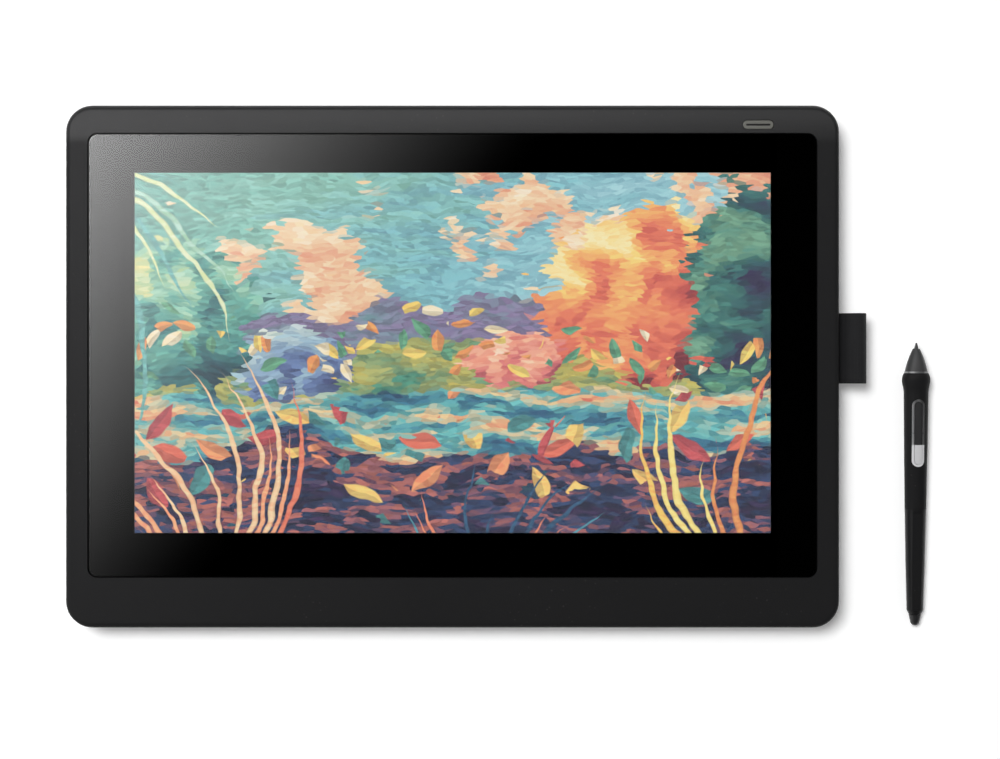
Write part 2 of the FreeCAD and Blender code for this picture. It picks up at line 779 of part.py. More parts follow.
def make_main_board():
    board = new_body("main_board")
    holes = [(x, y, size.screw_radius + size.shank_gap) for x, y in board_screw_places]
    plate = block(0, board_place, size.board_width, size.board_height)
    pad(board, "Board", board_low, board_top, [plate], holes)
    chips = [
        rounded(size.chip_spread * step, board_place - size.chip_side / 2,
                size.chip_side, size.chip_side, size.chip_tall)
        for step in (-1, 0, 1)
    ]
    pad(board, "Chips", board_low - size.chip_tall, board_low, chips)
    socket_front = channel_start - size.socket_proud
    socket = new_body("cable_socket")
    body_front = channel_start - size.inner_wall - size.fit_gap
    pad(socket, "SocketBody", size.socket_base, board_low,
        [box(-size.socket_width / 2, socket_front - size.socket_deep,
             size.socket_width / 2, body_front)])
    nose_top = size.socket_base + size.socket_nose_tall
    pad(socket, "SocketNose", size.socket_base, nose_top,
        [box(-size.socket_width / 2, body_front - size.cut_past,
             size.socket_width / 2, socket_front)])
    middle = size.socket_base + size.socket_nose_tall / 2
    tongue = rounded(0, middle, size.socket_mouth_width - size.socket_mouth_tall,
                     size.socket_tongue, size.socket_tongue / 4)
    mouth = rounded(0, middle, size.socket_mouth_width, size.socket_mouth_tall,
                    size.socket_mouth_tall / 4)
    pocket(socket, "SocketMouth", socket_front - size.socket_mouth_deep, socket_front,
           [mouth, tongue], plane="XZ_Plane")


def make_flex(label, side, start, level):
    """A flat cable that runs over the edge of the chassis and back to the main board."""
    flex = new_body(label)
    outer = flex_run
    inner = flex_run - size.flex_thick
    lap = board_place + size.board_height / 2 - size.flex_lap
    run = [
        (lap, board_top),
        (outer, board_top),
        (outer, level + size.flex_thick),
        (start, level + size.flex_thick),
        (start, level),
        (inner, level),
        (inner, board_top + size.flex_thick),
        (lap, board_top + size.flex_thick),
    ]
    place = side * size.flex_place
    pad(flex, "Run", place - size.flex_width / 2, place + size.flex_width / 2, [run],
        plane="YZ_Plane")


def make_driver_board():
    driver_low = deck_low - size.driver_thick
    driver = new_body("display_driver_board")
    pad(driver, "Driver", driver_low, deck_low,
        [box(-size.driver_width / 2, driver_near, size.driver_width / 2,
             driver_near + size.driver_height)])
    make_flex("display_flat_cable", -1, driver_near + size.driver_height / 2,
              driver_low - size.flex_thick)
    make_flex("sensor_flat_cable", 1, driver_near, tray_low)


# Power key


def make_power_key():
    board_left = key_place - size.key_board_width / 2
    board = new_body("key_board")
    pad(board, "KeyBoard", key_board_low, key_board_top,
        [block(key_place, key_up, size.key_board_width, size.key_board_height)])
    flex = new_body("key_flat_cable")
    half = size.key_flex_width / 2
    turn = (size.board_width / 2 - size.standoff_inset - size.boss_radius
            - size.flex_slot_gap)
    lap = board_place + size.board_height / 2 - size.flex_lap
    run = [
        (turn - size.key_flex_width, lap),
        (turn, lap),
        (turn, key_up - half),
        (board_left + size.key_flex_width, key_up - half),
        (board_left + size.key_flex_width, key_up + half),
        (turn - size.key_flex_width, key_up + half),
    ]
    pad(flex, "Run", board_top, board_top + size.flex_thick, [run])
    plunger_low = key_board_top + size.switch_tall - size.plunger_bite
    switch = new_body("power_switch")
    pad(switch, "SwitchCase", key_board_top, key_board_top + size.switch_tall,
        [block(key_place, key_up, size.switch_side, size.switch_side)])
    pocket(switch, "SwitchBore", plunger_low - size.key_travel - size.fit_gap,
           key_board_top + size.switch_tall,
           circles=[(key_place, key_up, size.plunger_radius + size.fit_gap)])
    plunger = new_body("power_plunger")
    pad(plunger, "Plunger", plunger_low, flange_low,
        circles=[(key_place, key_up, size.plunger_radius)])
    key = new_body("power_key")
    pad(key, "KeyFlange", flange_low, flange_top, [key_outline(size.flange_rim)])
    pad(key, "KeyCap", flange_top, key_top, [key_outline(0)])
    fillet(key, "KeyEdge", size.key_round, lambda edge: flat_at(edge, key_top))
    slit = pill(key_place, key_up, size.light_width, size.light_height)
    light_low = key_top - size.light_deep
    pocket(key, "LightSlit", light_low, key_top, [slit])
    light = new_body("status_light_guide")
    pad(light, "LightGuide", light_low, key_top - size.key_sink, [slit])


# Rear cover


def well_outline(side):
    tip = hinge_up - size.leg_reach - size.leg_tip_gap
    hinge = hinge_up + size.knuckle_radius + size.leg_tip_gap
    half = size.leg_width / 2 + size.leg_gap
    return box(side * leg_place - half, tip, side * leg_place + half, hinge)


def grown(outline, growth):
    """A plain box outline moved out on all four sides."""
    (left, low), (right, high) = outline[0], outline[2]
    return box(left - growth, low - growth, right + growth, high + growth)


def scoop_outline(side, growth):
    tip = hinge_up - size.leg_reach - size.leg_tip_gap
    half = size.scoop_width / 2 + growth
    radius = size.scoop_long / 2
    left = side * leg_place - half
    right = side * leg_place + half
    low = tip - size.scoop_long - growth
    return [
        (left + radius, low, radius),
        (right - radius, low),
        (right, low + radius, radius),
        (right, tip + size.cut_past),
        (left, tip + size.cut_past),
        (left, low + radius),
    ]


def channel_outline(start, half, end):
    return box(-half, start, half, end)


def near_feet(gap):
    return [
        pill(side * (half_width - size.near_foot_inset), size.foot_end - half_height,
             size.near_foot_long + 2 * gap, size.foot_wide + 2 * gap)
        for side in (-1, 1)
    ]


def far_feet(gap):
    return [
        pill(side * (half_width - size.far_foot_inset), half_height - size.foot_end,
             size.far_foot_long + 2 * gap, size.foot_wide + 2 * gap)
        for side in (-1, 1)
    ]


def cover_sections():
    """The cover's outline level by level, rounded from its floor into its sloping sides."""
    slope = slope_angle(parting - base, size.base_inset)
    start = size.base_inset + size.base_round * (1 - cosine(slope)) / sine(slope)
    bands = 3
    sections = []
    for band in range(bands + 1):
        turn = Size(slope.number * band / bands, "(%s * %s / %s)" % (slope.formula, band, bands))
        inset = start - size.base_round * sine(turn)
        corner = size.corner_radius - inset * size.corner_ease
        sections.append((base + size.base_round * (1 - cosine(turn)),
                         rounded(0, 0, body_width - 2 * inset,
                                 body_height - 2 * inset, corner)))
    sections.append((parting, case_outline(0)))
    return sections


def make_rear_cover():
    rim_wall = size.frame_wall + size.fit_gap + size.lip_wall
    floor_top = base + size.cover_wall
    hollow_inset = size.base_inset + size.hollow_step
    channel_half = size.channel_width / 2
    past = half_height + size.cut_past

    # What the cover's floor and sides stand round, less the block that the channel is cut in
    hollow = new_body("cover_hollow")
    loft(hollow, "Hollow", "PartDesign::AdditiveLoft", [
        (floor_top, rounded(0, 0, body_width - 2 * hollow_inset,
                            body_height - 2 * hollow_inset,
                            size.corner_radius - hollow_inset * size.corner_ease)),
        (parting, case_outline(rim_wall)),
    ])
    pocket(hollow, "ChannelBlock", floor_top, parting,
           [channel_outline(channel_start - size.inner_wall,
                            channel_half + size.inner_wall, past)])

    cover = new_body("rear_cover")
    loft(cover, "CoverBlank", "PartDesign::AdditiveLoft", cover_sections())
    shell = cover.newObject("PartDesign::Boolean", "CoverShell")
    shell.Type = "Cut"
    shell.setObjects([hollow])
    pad(cover, "Lip", parting, parting + size.lip_tall,
        [case_outline(size.frame_wall + size.fit_gap), case_outline(rim_wall)])
    pad(cover, "WellWalls", base, well_top + size.well_roof,
        [grown(well_outline(side), size.inner_wall) for side in (-1, 1)])
    pad(cover, "ScoopWalls", base, base + size.scoop_deep + size.well_roof,
        [scoop_outline(side, size.inner_wall) for side in (-1, 1)])
    pad(cover, "ScrewBosses", base, chassis_low,
        circles=[(x, y, size.boss_radius) for x, y in screw_places])
    pocket(cover, "LegWells", base, well_top, [well_outline(side) for side in (-1, 1)])
    pocket(cover, "Scoops", base, base + size.scoop_deep,
           [scoop_outline(side, 0) for side in (-1, 1)])
    pocket(cover, "CableChannel", base, channel_roof,
           [channel_outline(channel_start, channel_half, past)])
    middle = size.socket_base + size.socket_nose_tall / 2
    pocket(cover, "SocketWindow", channel_start - size.inner_wall, channel_start,
           [block(0, middle, size.socket_width + 2 * size.socket_gap,
                  size.socket_nose_tall + 2 * size.socket_gap)], plane="XZ_Plane")
    seat = base + size.screw_seat
    pocket(cover, "ScrewHeads", base, seat,
           circles=[(x, y, size.screw_head + size.shank_gap) for x, y in screw_places])
    pocket(cover, "ScrewShanks", seat, chassis_low,
           circles=[(x, y, size.screw_radius + size.shank_gap) for x, y in screw_places])
    for name, side in (("LeftVents", -1), ("RightVents", 1)):
        first = side * size.vent_place - (size.vent_count - 1) / 2 * size.vent_pitch
        slot = pocket(cover, name + "Slot", base, floor_top,
                      [block(first, half_height - size.vent_inset, size.vent_width,
                             size.vent_long)])
        row(cover, name, slot, size.vent_count, size.vent_pitch)
    pocket(cover, "FootSeats", base, base + size.foot_seat,
           near_feet(size.fit_gap) + far_feet(size.fit_gap))
    for name, side in (("LeftPinHoles", -1), ("RightPinHoles", 1)):
        half = size.leg_width / 2 + size.leg_gap + size.pin_bite
        pocket(cover, name, side * leg_place - half, side * leg_place + half,
               circles=[(hinge_up, size.hinge_level, size.pin_radius)],
               plane="YZ_Plane")


def make_screws():
    case = new_body("case_screws")
    head_top = base + size.screw_seat
    pad(case, "Heads", head_top - size.screw_head_tall, head_top,
        circles=[(x, y, size.screw_head) for x, y in screw_places])
    pad(case, "Shanks", head_top, screw_top,
        circles=[(x, y, size.screw_radius) for x, y in screw_places])
    board = new_body("board_screws")
    pad(board, "Heads", board_low - size.screw_head_tall, board_low,
        circles=[(x, y, size.screw_head) for x, y in board_screw_places])
    pad(board, "Shanks", board_low, board_top + size.board_screw_bite,
        circles=[(x, y, size.screw_radius) for x, y in board_screw_places])


def make_feet():
    near_pair = new_body("near_feet")
    pad(near_pair, "Feet", 0, base + size.foot_seat, near_feet(0))
    far_pair = new_body("far_feet")
    pad(far_pair, "Feet", 0, base + size.foot_seat, far_feet(0))


# Fold-out legs, each drawn about its own hinge


def make_leg(word, side):
    half = size.leg_width / 2
    under = -size.knuckle_radius
    body_end = -(size.leg_reach - size.leg_foot_long)
    leg = new_body("leg_" + word)
    section = [
        (body_end, under),
        (0, under),
        (size.knuckle_radius, 0, size.knuckle_radius),
        (0, size.knuckle_radius, size.knuckle_radius),
        (body_end, size.leg_tip_top),
    ]
    pad(leg, "LegBlank", -half, half, [section], plane="YZ_Plane")
    fillet(leg, "TipCorners", size.leg_corner, lambda edge: tip_corner(edge, body_end))
    fillet(leg, "SkinEdge", size.leg_round, lambda edge: skin_edge(edge, under))
    inner = half - size.leg_wall
    cells = (
        (size.rib_first, size.rib_second),
        (size.rib_second + size.rib_thick, size.rib_third),
        (size.rib_third + size.rib_thick, size.leg_reach - size.leg_foot_long - size.leg_wall),
    )
    pocket(leg, "Cells", under + size.leg_skin, size.knuckle_radius,
           [box(-inner, -last, inner, -first) for first, last in cells])
    pocket(leg, "PinBore", -half, half,
           circles=[(0, 0, size.pin_radius + size.pin_gap)], plane="YZ_Plane")
    foot = new_body("leg_foot_" + word)
    foot_half = half - size.leg_foot_inset
    pad(foot, "FootBlank", -size.leg_reach, body_end,
        [box(-foot_half, under + size.leg_foot_round / 2, foot_half,
             size.leg_tip_top - size.leg_foot_round / 2)], plane="XZ_Plane")
    fillet(foot, "FootEdge", size.leg_foot_round,
           lambda edge: near(edge.BoundBox.YMax, -size.leg_reach))
    pin = new_body("leg_pin_" + word)
    pin_half = half + size.leg_gap + size.pin_bite
    pad(pin, "Pin", -pin_half, pin_half, circles=[(0, 0, size.pin_radius)], plane="YZ_Plane")
    for piece in (leg, foot, pin):
        spots[piece.Name] = (side * leg_place, hinge_up, size.hinge_level, as_size(0))


def tip_corner(edge, body_end):
    bounds = edge.BoundBox
    upright = bounds.ZLength > 1 and bounds.XLength < 1e-3
    return upright and near(bounds.YMin, body_end) and near(bounds.YMax, body_end)


def skin_edge(edge, under):
    """Edges of the outer skin, apart from the line where it meets the round hinge end."""
    bounds = edge.BoundBox
    return flat_at(edge, under) and not (near(bounds.YMin, 0) and near(bounds.YMax, 0))


def make_nib_store():
    far_side = hinge_up - size.store_start
    near_side = far_side - size.store_long
    floor = well_top - size.store_tall
    level = well_top - size.store_tall / 2
    places = [-leg_place + step * size.store_pitch for step in (-1, 0, 1)]
    holder = new_body("nib_holder")
    pad(holder, "Holder", floor, well_top,
        [box(-leg_place - size.store_width / 2, near_side,
             -leg_place + size.store_width / 2, far_side)])
    pocket(holder, "NibBores", near_side, near_side + size.nib_bite,
           circles=[(x, level, size.nib_radius + size.thread_gap) for x in places],
           plane="XZ_Plane")
    nibs = new_body("spare_nibs")
    pad(nibs, "Nibs", near_side - size.nib_proud, near_side + size.nib_bite,
        circles=[(x, level, size.nib_radius) for x in places], plane="XZ_Plane")
    ring = new_body("nib_removal_ring")
    spot = (-leg_place, near_side - size.nib_proud - size.ring_away)
    pad(ring, "Ring", well_top - size.ring_tall, well_top,
        circles=[spot + (size.ring_radius,), spot + (size.ring_bore,)])


# Fabric pen loop


def make_pen_loop():
    slant = degrees(size.loop_slant)
    middle = loop_level
    centre = half_width + size.loop_reach - size.loop_radius
    inner_end = half_width - size.frame_wall - size.loop_tail
    bend = size.loop_radius - size.loop_thick

    def side_point(radius):
        return centre - radius * sine(slant), radius * cosine(slant)

    outer_x, outer_rise = side_point(size.loop_radius)
    neck = outer_x - (outer_rise - size.loop_thick) * cosine(slant) / sine(slant)
    eye_x, eye_rise = side_point(bend)
    eye_start = eye_x - eye_rise * cosine(slant) / sine(slant)
    outside = [
        (inner_end, middle - size.loop_thick),
        (neck, middle - size.loop_thick),
        (outer_x, middle - outer_rise),
        (centre, middle - size.loop_radius, size.loop_radius),
        (centre + size.loop_radius, middle, size.loop_radius),
        (centre, middle + size.loop_radius, size.loop_radius),
        (outer_x, middle + outer_rise, size.loop_radius),
        (neck, middle + size.loop_thick),
        (inner_end, middle + size.loop_thick),
    ]
    eye = [
        (eye_start, middle),
        (eye_x, middle - eye_rise),
        (centre, middle - bend, bend),
        (centre + bend, middle, bend),
        (centre, middle + bend, bend),
        (eye_x, middle + eye_rise, bend),
    ]
    low = size.loop_place - size.loop_width / 2
    high = size.loop_place + size.loop_width / 2
    loop = new_body("pen_loop")
    pad(loop, "Ribbon", low, high, [outside, eye], plane="XZ_Plane")

    wall_face = half_width - size.frame_wall
    slot_half = size.loop_thick + size.anchor_grip
    block_half = slot_half + size.anchor_wall
    back = inner_end - size.anchor_grip
    anchor = new_body("pen_loop_anchor")
    jaw = [
        (back - size.anchor_wall, middle - block_half),
        (wall_face, middle - block_half),
        (wall_face, middle - slot_half),
        (back, middle - slot_half),
        (back, middle + slot_half),
        (wall_face, middle + slot_half),
        (wall_face, middle + block_half),
        (back - size.anchor_wall, middle + block_half),
    ]
    pad(anchor, "Anchor", low - size.anchor_margin, high + size.anchor_margin, [jaw],
        plane="XZ_Plane")


# Pen, drawn along -Y from its tip and then laid on the desk. Places run from the tip back.

ring_start = size.nose_start + size.nose_long
ring_end = ring_start + size.ring_long
flare_place = ring_end + size.flare_run
flare_back = flare_place + size.flare_fall
waist_place = flare_back + size.waist_run
grip_mid = waist_place + size.grip_front_long
grip_end = grip_mid + size.grip_back_long
barrel_mid = grip_end + size.barrel_front_long
barrel_tail = barrel_mid + size.barrel_back_long
barrel_end = barrel_tail + size.barrel_end_long
pen_end = barrel_end + size.eraser_proud
carrier_start = size.nose_start + size.carrier_setback
carrier_end = carrier_start + size.carrier_long
nib_end = carrier_start + size.nib_hold
ferrite_start = carrier_end + size.nib_travel + size.end_gap
ferrite_end = ferrite_start + size.ferrite_long
rod_end = ferrite_end + size.rod_proud
force_start = rod_end + size.nib_travel + size.end_gap
force_end = force_start + size.force_long
rocker_start = waist_place + size.rocker_setback
rocker_split = rocker_start + size.rocker_dark_long
rocker_end = rocker_split + size.rocker_pale_long
rocker_mid = (rocker_start + rocker_end) / 2
eraser_start = barrel_end + size.eraser_travel + size.fit_gap
stem_start = barrel_end - size.eraser_stem_bite
eraser_core_end = stem_start - size.eraser_travel - size.end_gap
eraser_core_start = eraser_core_end - size.eraser_core_long
core_back = eraser_core_start - size.core_shoulder

# It lies on the widest part of its grip and on its tail, so it leans down to the tail

pen_place = half_width + size.pen_aside
pen_lean = slope_angle(size.flare_radius - size.barrel_tail_radius, barrel_tail - flare_place)
pen_level = (flare_place * sine(pen_lean) + size.flare_radius * cosine(pen_lean)
             + size.pen_rest)
pen_near = size.pen_tip - pen_end * cosine(pen_lean)


def pen_point(place, radius, bend=None):
    if bend is None:
        return (-place, radius)
    return (-place, radius, bend)


def crown_radius(run, rise):
    """Radius of an arc that rises to a level crown over a given run."""
    return (run * run + rise * rise) / (2 * rise)


def lay_pen(piece):
    spots[piece.Name] = (pen_place, size.pen_tip, pen_level, pen_lean)


def make_pen_front():
    nib = new_body("pen_nib")
    revolve(nib, "Nib", [
        pen_point(0, 0, -size.nib_point),
        pen_point(nib_end, 0),
        pen_point(nib_end, size.nib_radius),
        pen_point(size.nib_cone, size.nib_radius),
        pen_point(size.nib_point, size.nib_point),
    ])
    carrier = new_body("pen_nib_carrier")
    revolve(carrier, "Carrier", [
        pen_point(rod_end, 0),
        pen_point(rod_end, size.rod_radius),
        pen_point(carrier_end, size.rod_radius),
        pen_point(carrier_end, size.carrier_radius),
        pen_point(carrier_start, size.carrier_radius),
        pen_point(carrier_start, size.nib_radius),
        pen_point(nib_end, size.nib_radius),
        pen_point(nib_end, 0),
    ][::-1])
    seat = carrier_start - size.nib_travel
    sleeve = size.carrier_radius + size.carrier_gap
    nose = new_body("pen_nose")
    revolve(nose, "Nose", [
        pen_point(size.nose_start, size.nib_radius + size.nib_gap),
        pen_point(seat, size.nib_radius + size.nib_gap),
        pen_point(seat, sleeve),
        pen_point(ring_start, sleeve),
        pen_point(ring_start, size.nose_end_radius),
        pen_point(size.nose_start, size.nose_tip_radius, -size.nose_bow),
    ])
    ring = new_body("pen_accent_ring")
    revolve(ring, "Ring", [
        pen_point(ring_start, sleeve),
        pen_point(ring_end, sleeve),
        pen_point(ring_end, size.ring_outside),
        pen_point(ring_start, size.ring_outside),
    ])
    for piece in (nib, carrier, nose, ring):
        lay_pen(piece)


def grip_top():
    """The outer line of the grip from its front to its back, as points."""
    front_crown = crown_radius(flare_place - ring_end,
                               size.flare_radius - size.grip_front_radius)
    back_crown = crown_radius(flare_back - flare_place,
                              size.flare_radius - size.flare_back_radius)
    return [
        pen_point(ring_end, size.grip_front_radius),
        pen_point(flare_place, size.flare_radius, front_crown),
        pen_point(flare_back, size.flare_back_radius, back_crown),
        pen_point(waist_place, size.waist_radius, -size.waist_sweep),
        pen_point(grip_mid, size.grip_mid_radius),
        pen_point(grip_end, size.grip_end_radius),
    ]


def rocker_outline(growth):
    length = rocker_end - rocker_start + 2 * growth
    return turned(pill(-rocker_mid, 0, length, size.rocker_width + 2 * growth))


def make_pen_shell():
    room = size.rocker_gap + size.bezel_rim
    high = size.flare_radius + size.rocker_proud
    grip = new_body("pen_grip")
    revolve(grip, "Grip", grip_top() + [
        pen_point(grip_end, size.core_radius),
        pen_point(ring_end, size.core_radius),
    ])
    pocket(grip, "SwitchOpening", 0, high, [rocker_outline(room)])
    barrel = new_body("pen_barrel")
    stem_bore = size.eraser_stem_radius + size.eraser_gap
    revolve(barrel, "Barrel", [
        pen_point(ring_end, size.core_radius),
        pen_point(grip_end, size.core_radius),
        pen_point(grip_end, size.grip_end_radius),
        pen_point(barrel_mid, size.barrel_mid_radius),
        pen_point(barrel_tail, size.barrel_tail_radius),
        pen_point(barrel_end, size.barrel_end_radius),
        pen_point(barrel_end, stem_bore),
        pen_point(eraser_core_end, stem_bore),
        pen_point(eraser_core_end, size.eraser_core_radius),
        pen_point(core_back, size.eraser_core_radius),
        pen_point(core_back, size.core_bore),
        pen_point(ring_end, size.core_bore),
    ])
    pocket(barrel, "SwitchOpening", 0, high, [rocker_outline(size.rocker_gap)])
    flat_half = size.grip_end_radius
    front_level = size.grip_end_radius - size.barrel_flat
    back_level = size.barrel_tail_radius - size.barrel_flat
    flat = [
        (-barrel_tail, back_level),
        (-(grip_end + size.flat_setback), front_level),
        (-(grip_end + size.flat_setback), size.flare_radius),
        (-barrel_tail, size.flare_radius),
    ]
    pocket(barrel, "Flat", -flat_half, flat_half, [flat], plane="YZ_Plane")
    for piece in (grip, barrel):
        lay_pen(piece)


def follow_grip(label, proud, low, outlines, start, end):
    """A piece cut to an outline from above, with a top that follows the grip."""
    blank = new_body(label + "_blank")
    pad(blank, "Blank", low, size.flare_radius, outlines)
    sleeve = new_body(label + "_sleeve")
    slope = (size.waist_radius - size.grip_mid_radius) / (grip_mid - waist_place)
    revolve(sleeve, "Sleeve", [
        pen_point(start, 0),
        pen_point(start, size.waist_radius - slope * (start - waist_place) + proud),
        pen_point(end, size.waist_radius - slope * (end - waist_place) + proud),
        pen_point(end, 0),
    ][::-1])
    piece = doc.addObject("Part::Common", label)
    piece.Base = blank
    piece.Tool = sleeve
    piece.Label = label
    return piece


def make_side_switch():
    room = size.rocker_gap + size.bezel_rim
    start = rocker_start - room
    end = rocker_end + room
    half = size.rocker_width / 2
    bezel_ring = follow_grip("bezel_ring", size.bezel_proud, size.core_radius,
                             [rocker_outline(room), rocker_outline(size.rocker_gap)], start, end)
    bores = new_body("bezel_bores")
    reach = half + size.rocker_gap + size.trunnion_bite
    pad(bores, "Bores", -reach, reach,
        circles=[(-rocker_mid, size.trunnion_level, size.trunnion_radius + size.pin_gap)],
        plane="YZ_Plane")
    bezel = doc.addObject("Part::Cut", "pen_switch_bezel")
    bezel.Base = bezel_ring
    bezel.Tool = bores
    split = -rocker_split
    cap = follow_grip("switch_cap", size.rocker_proud, size.rocker_base, [rocker_outline(0)],
                      start, end)
    past = rocker_end + size.cut_past
    ahead = rocker_start - size.cut_past
    behind = new_body("behind_split")
    pad(behind, "Behind", size.core_bore, size.flare_radius,
        [box(-size.rocker_width, -past, size.rocker_width, split)])
    before = new_body("before_split")
    pad(before, "Before", size.core_bore, size.flare_radius,
        [box(-size.rocker_width, split, size.rocker_width, -ahead)])
    pin = new_body("trunnions")
    pin_reach = reach - size.fit_gap
    pad(pin, "Trunnions", -pin_reach, pin_reach,
        circles=[(-rocker_mid, size.trunnion_level, size.trunnion_radius)], plane="YZ_Plane")
    front = doc.addObject("Part::Common", "rocker_front")
    front.Base = cap
    front.Tool = before
    rocker = doc.addObject("Part::Fuse", "pen_rocker")
    rocker.Base = front
    rocker.Tool = pin
    pale = doc.addObject("Part::Common", "pen_rocker_pale")
    pale.Base = cap
    pale.Tool = behind
    for piece in (bezel, rocker, pale):
        lay_pen(piece)
    board_top_level = size.pen_board_level + size.pen_board_thick
    domes = new_body("pen_switch_domes")
    pad(domes, "Domes", board_top_level, board_top_level + size.dome_tall, circles=[
        (0, -place, size.dome_radius)
        for place in (rocker_start + size.dome_inset, rocker_end - size.dome_inset)
    ])
    board = new_body("pen_circuit_board")
    pad(board, "Board", size.pen_board_level, board_top_level,
        [box(-size.pen_board_width / 2, -(force_end + size.pen_board_long),
             size.pen_board_width / 2, -force_end)])
    for piece in (domes, board):
        lay_pen(piece)


def make_pen_core():
    ferrite = new_body("pen_ferrite")
    bore = size.rod_radius + size.rod_gap
    revolve(ferrite, "Ferrite", [
        pen_point(ferrite_start, bore),
        pen_point(ferrite_end, bore),
        pen_point(ferrite_end, size.ferrite_radius),
        pen_point(ferrite_start, size.ferrite_radius),
    ])
    winding = new_body("pen_winding")
    outside = size.core_bore - size.winding_gap
    revolve(winding, "Winding", [
        pen_point(ferrite_start + size.winding_inset, size.ferrite_radius),
        pen_point(ferrite_end - size.winding_inset, size.ferrite_radius),
        pen_point(ferrite_end - size.winding_inset, outside),
        pen_point(ferrite_start + size.winding_inset, outside),
    ])
    force = new_body("pen_pressure_sensor")
    revolve(force, "Sensor", [
        pen_point(force_start, 0),
        pen_point(force_end, 0),
        pen_point(force_end, outside),
        pen_point(force_start, outside),
    ])
    eraser = new_body("pen_eraser")
    revolve(eraser, "Eraser", [
        pen_point(stem_start, 0),
        pen_point(stem_start, size.eraser_stem_radius),
        pen_point(eraser_start, size.eraser_stem_radius),
        pen_point(eraser_start, size.eraser_radius),
        pen_point(pen_end - size.eraser_cap_long, size.eraser_cap_radius),
        pen_point(pen_end, 0, crown_radius(size.eraser_cap_radius, size.eraser_cap_long)),
    ])
    core = new_body("pen_eraser_ferrite")
    revolve(core, "EraserFerrite", [
        pen_point(eraser_core_start, 0),
        pen_point(eraser_core_end, 0),
        pen_point(eraser_core_end, size.eraser_core_radius - size.winding_gap),
        pen_point(eraser_core_start, size.eraser_core_radius - size.winding_gap),
    ])
    for piece in (ferrite, winding, force, eraser, core):
        lay_pen(piece)


make_front_frame()
make_glass()
make_display()
make_chassis()
make_main_board()
make_driver_board()
make_power_key()
make_rear_cover()
make_screws()
make_feet()
make_leg("left", -1)
make_leg("right", 1)
make_nib_store()
make_pen_loop()
make_pen_front()
make_pen_shell()
make_side_switch()
make_pen_core()

helpers = ("cover_hollow", "bezel_ring", "bezel_bores", "bezel_ring_blank", "bezel_ring_sleeve",
           "switch_cap", "switch_cap_blank", "switch_cap_sleeve", "behind_split",
           "before_split", "trunnions", "rocker_front")
solids = [
    item for item in doc.Objects
    if item.TypeId in ("PartDesign::Body", "Part::Cut", "Part::Common", "Part::Fuse")
    and item.Label not in helpers
]

middle_x = (pen_place + size.flare_radius - half_width) / 2
middle_y = (half_height + pen_near) / 2


def settle(piece, x, y, z, turn):
    spot = (x - middle_x, y - middle_y, z)
    piece.Placement = Placement(Vector(*[value.number for value in spot]),
                                Rotation(Vector(1, 0, 0), turn.number))
    for axis, value in zip("xyz", spot):
        piece.setExpression("Placement.Base." + axis, value.formula)
    if turn.number:
        piece.setExpression("Placement.Rotation.Angle", turn.formula)


in_place = (as_size(0), as_size(0), as_size(0), as_size(0))
for item in solids:
    settle(item, *spots.get(item.Name, in_place))
doc.recompute()

for item in doc.Objects:
    if "Invalid" in item.State or "Error" in item.State:
        raise RuntimeError("%s failed: %s" % (item.Label, item.State))
for item in solids:
    if item.Shape.isNull() or not item.Shape.isValid() or not item.Shape.Solids:
        raise RuntimeError("%s has no valid solid" % item.Label)

os.makedirs("parts", exist_ok=True)
for item in solids:
    item.Shape.exportStep(os.path.join("parts", item.Label + ".step"))
    print("%-24s %2d solids %10.1f mm3" % (item.Label, len(item.Shape.Solids), item.Shape.Volume))
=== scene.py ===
import json
import math

import bmesh
import bpy
from mathutils import Matrix, Vector


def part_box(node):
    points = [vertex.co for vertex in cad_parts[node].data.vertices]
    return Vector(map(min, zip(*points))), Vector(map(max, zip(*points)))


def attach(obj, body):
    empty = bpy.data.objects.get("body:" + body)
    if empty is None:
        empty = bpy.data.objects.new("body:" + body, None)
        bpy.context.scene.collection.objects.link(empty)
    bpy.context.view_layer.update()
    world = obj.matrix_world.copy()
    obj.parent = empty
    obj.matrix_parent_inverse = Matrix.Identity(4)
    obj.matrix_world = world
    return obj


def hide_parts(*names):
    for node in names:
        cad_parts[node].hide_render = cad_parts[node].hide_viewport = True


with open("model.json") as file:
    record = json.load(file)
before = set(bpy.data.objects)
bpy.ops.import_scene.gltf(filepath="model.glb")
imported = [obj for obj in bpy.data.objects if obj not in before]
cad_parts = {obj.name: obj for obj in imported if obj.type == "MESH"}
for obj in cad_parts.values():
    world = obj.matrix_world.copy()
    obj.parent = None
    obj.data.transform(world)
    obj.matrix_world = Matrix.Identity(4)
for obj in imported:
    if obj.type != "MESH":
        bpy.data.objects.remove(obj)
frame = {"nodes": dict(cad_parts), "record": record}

scene = bpy.context.scene
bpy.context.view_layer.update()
nodes = frame["nodes"]
print("pen display: frame loaded,", len(nodes), "nodes")


cameraSet = {
    "place": (-0.0006, -0.0065, 1.0213),
    "lens": 65.9,
    "sensor": 36.0,
}
cameraData = bpy.data.cameras.new("topCamera")
cameraData.lens = cameraSet["lens"]
cameraData.sensor_width = cameraSet["sensor"]
camera = bpy.data.objects.new("topCamera", cameraData)
camera.location = cameraSet["place"]
scene.collection.objects.link(camera)
scene.camera = camera
scene.view_settings.view_transform = "Standard"


def deselectAll():
    if bpy.context.object and bpy.context.object.mode != "OBJECT":
        bpy.ops.object.mode_set(mode="OBJECT")
    bpy.ops.object.select_all(action="DESELECT")


def pick(*pieces):
    # the first piece becomes the active one
    deselectAll()
    for piece in pieces:
        piece.select_set(True)
    bpy.context.view_layer.objects.active = pieces[0]


def placeInMesh(piece):
    # moves, turns and sizes go into the mesh; the object stays at the origin
    pick(piece)
    bpy.ops.object.transform_apply(location=True, rotation=True, scale=True)


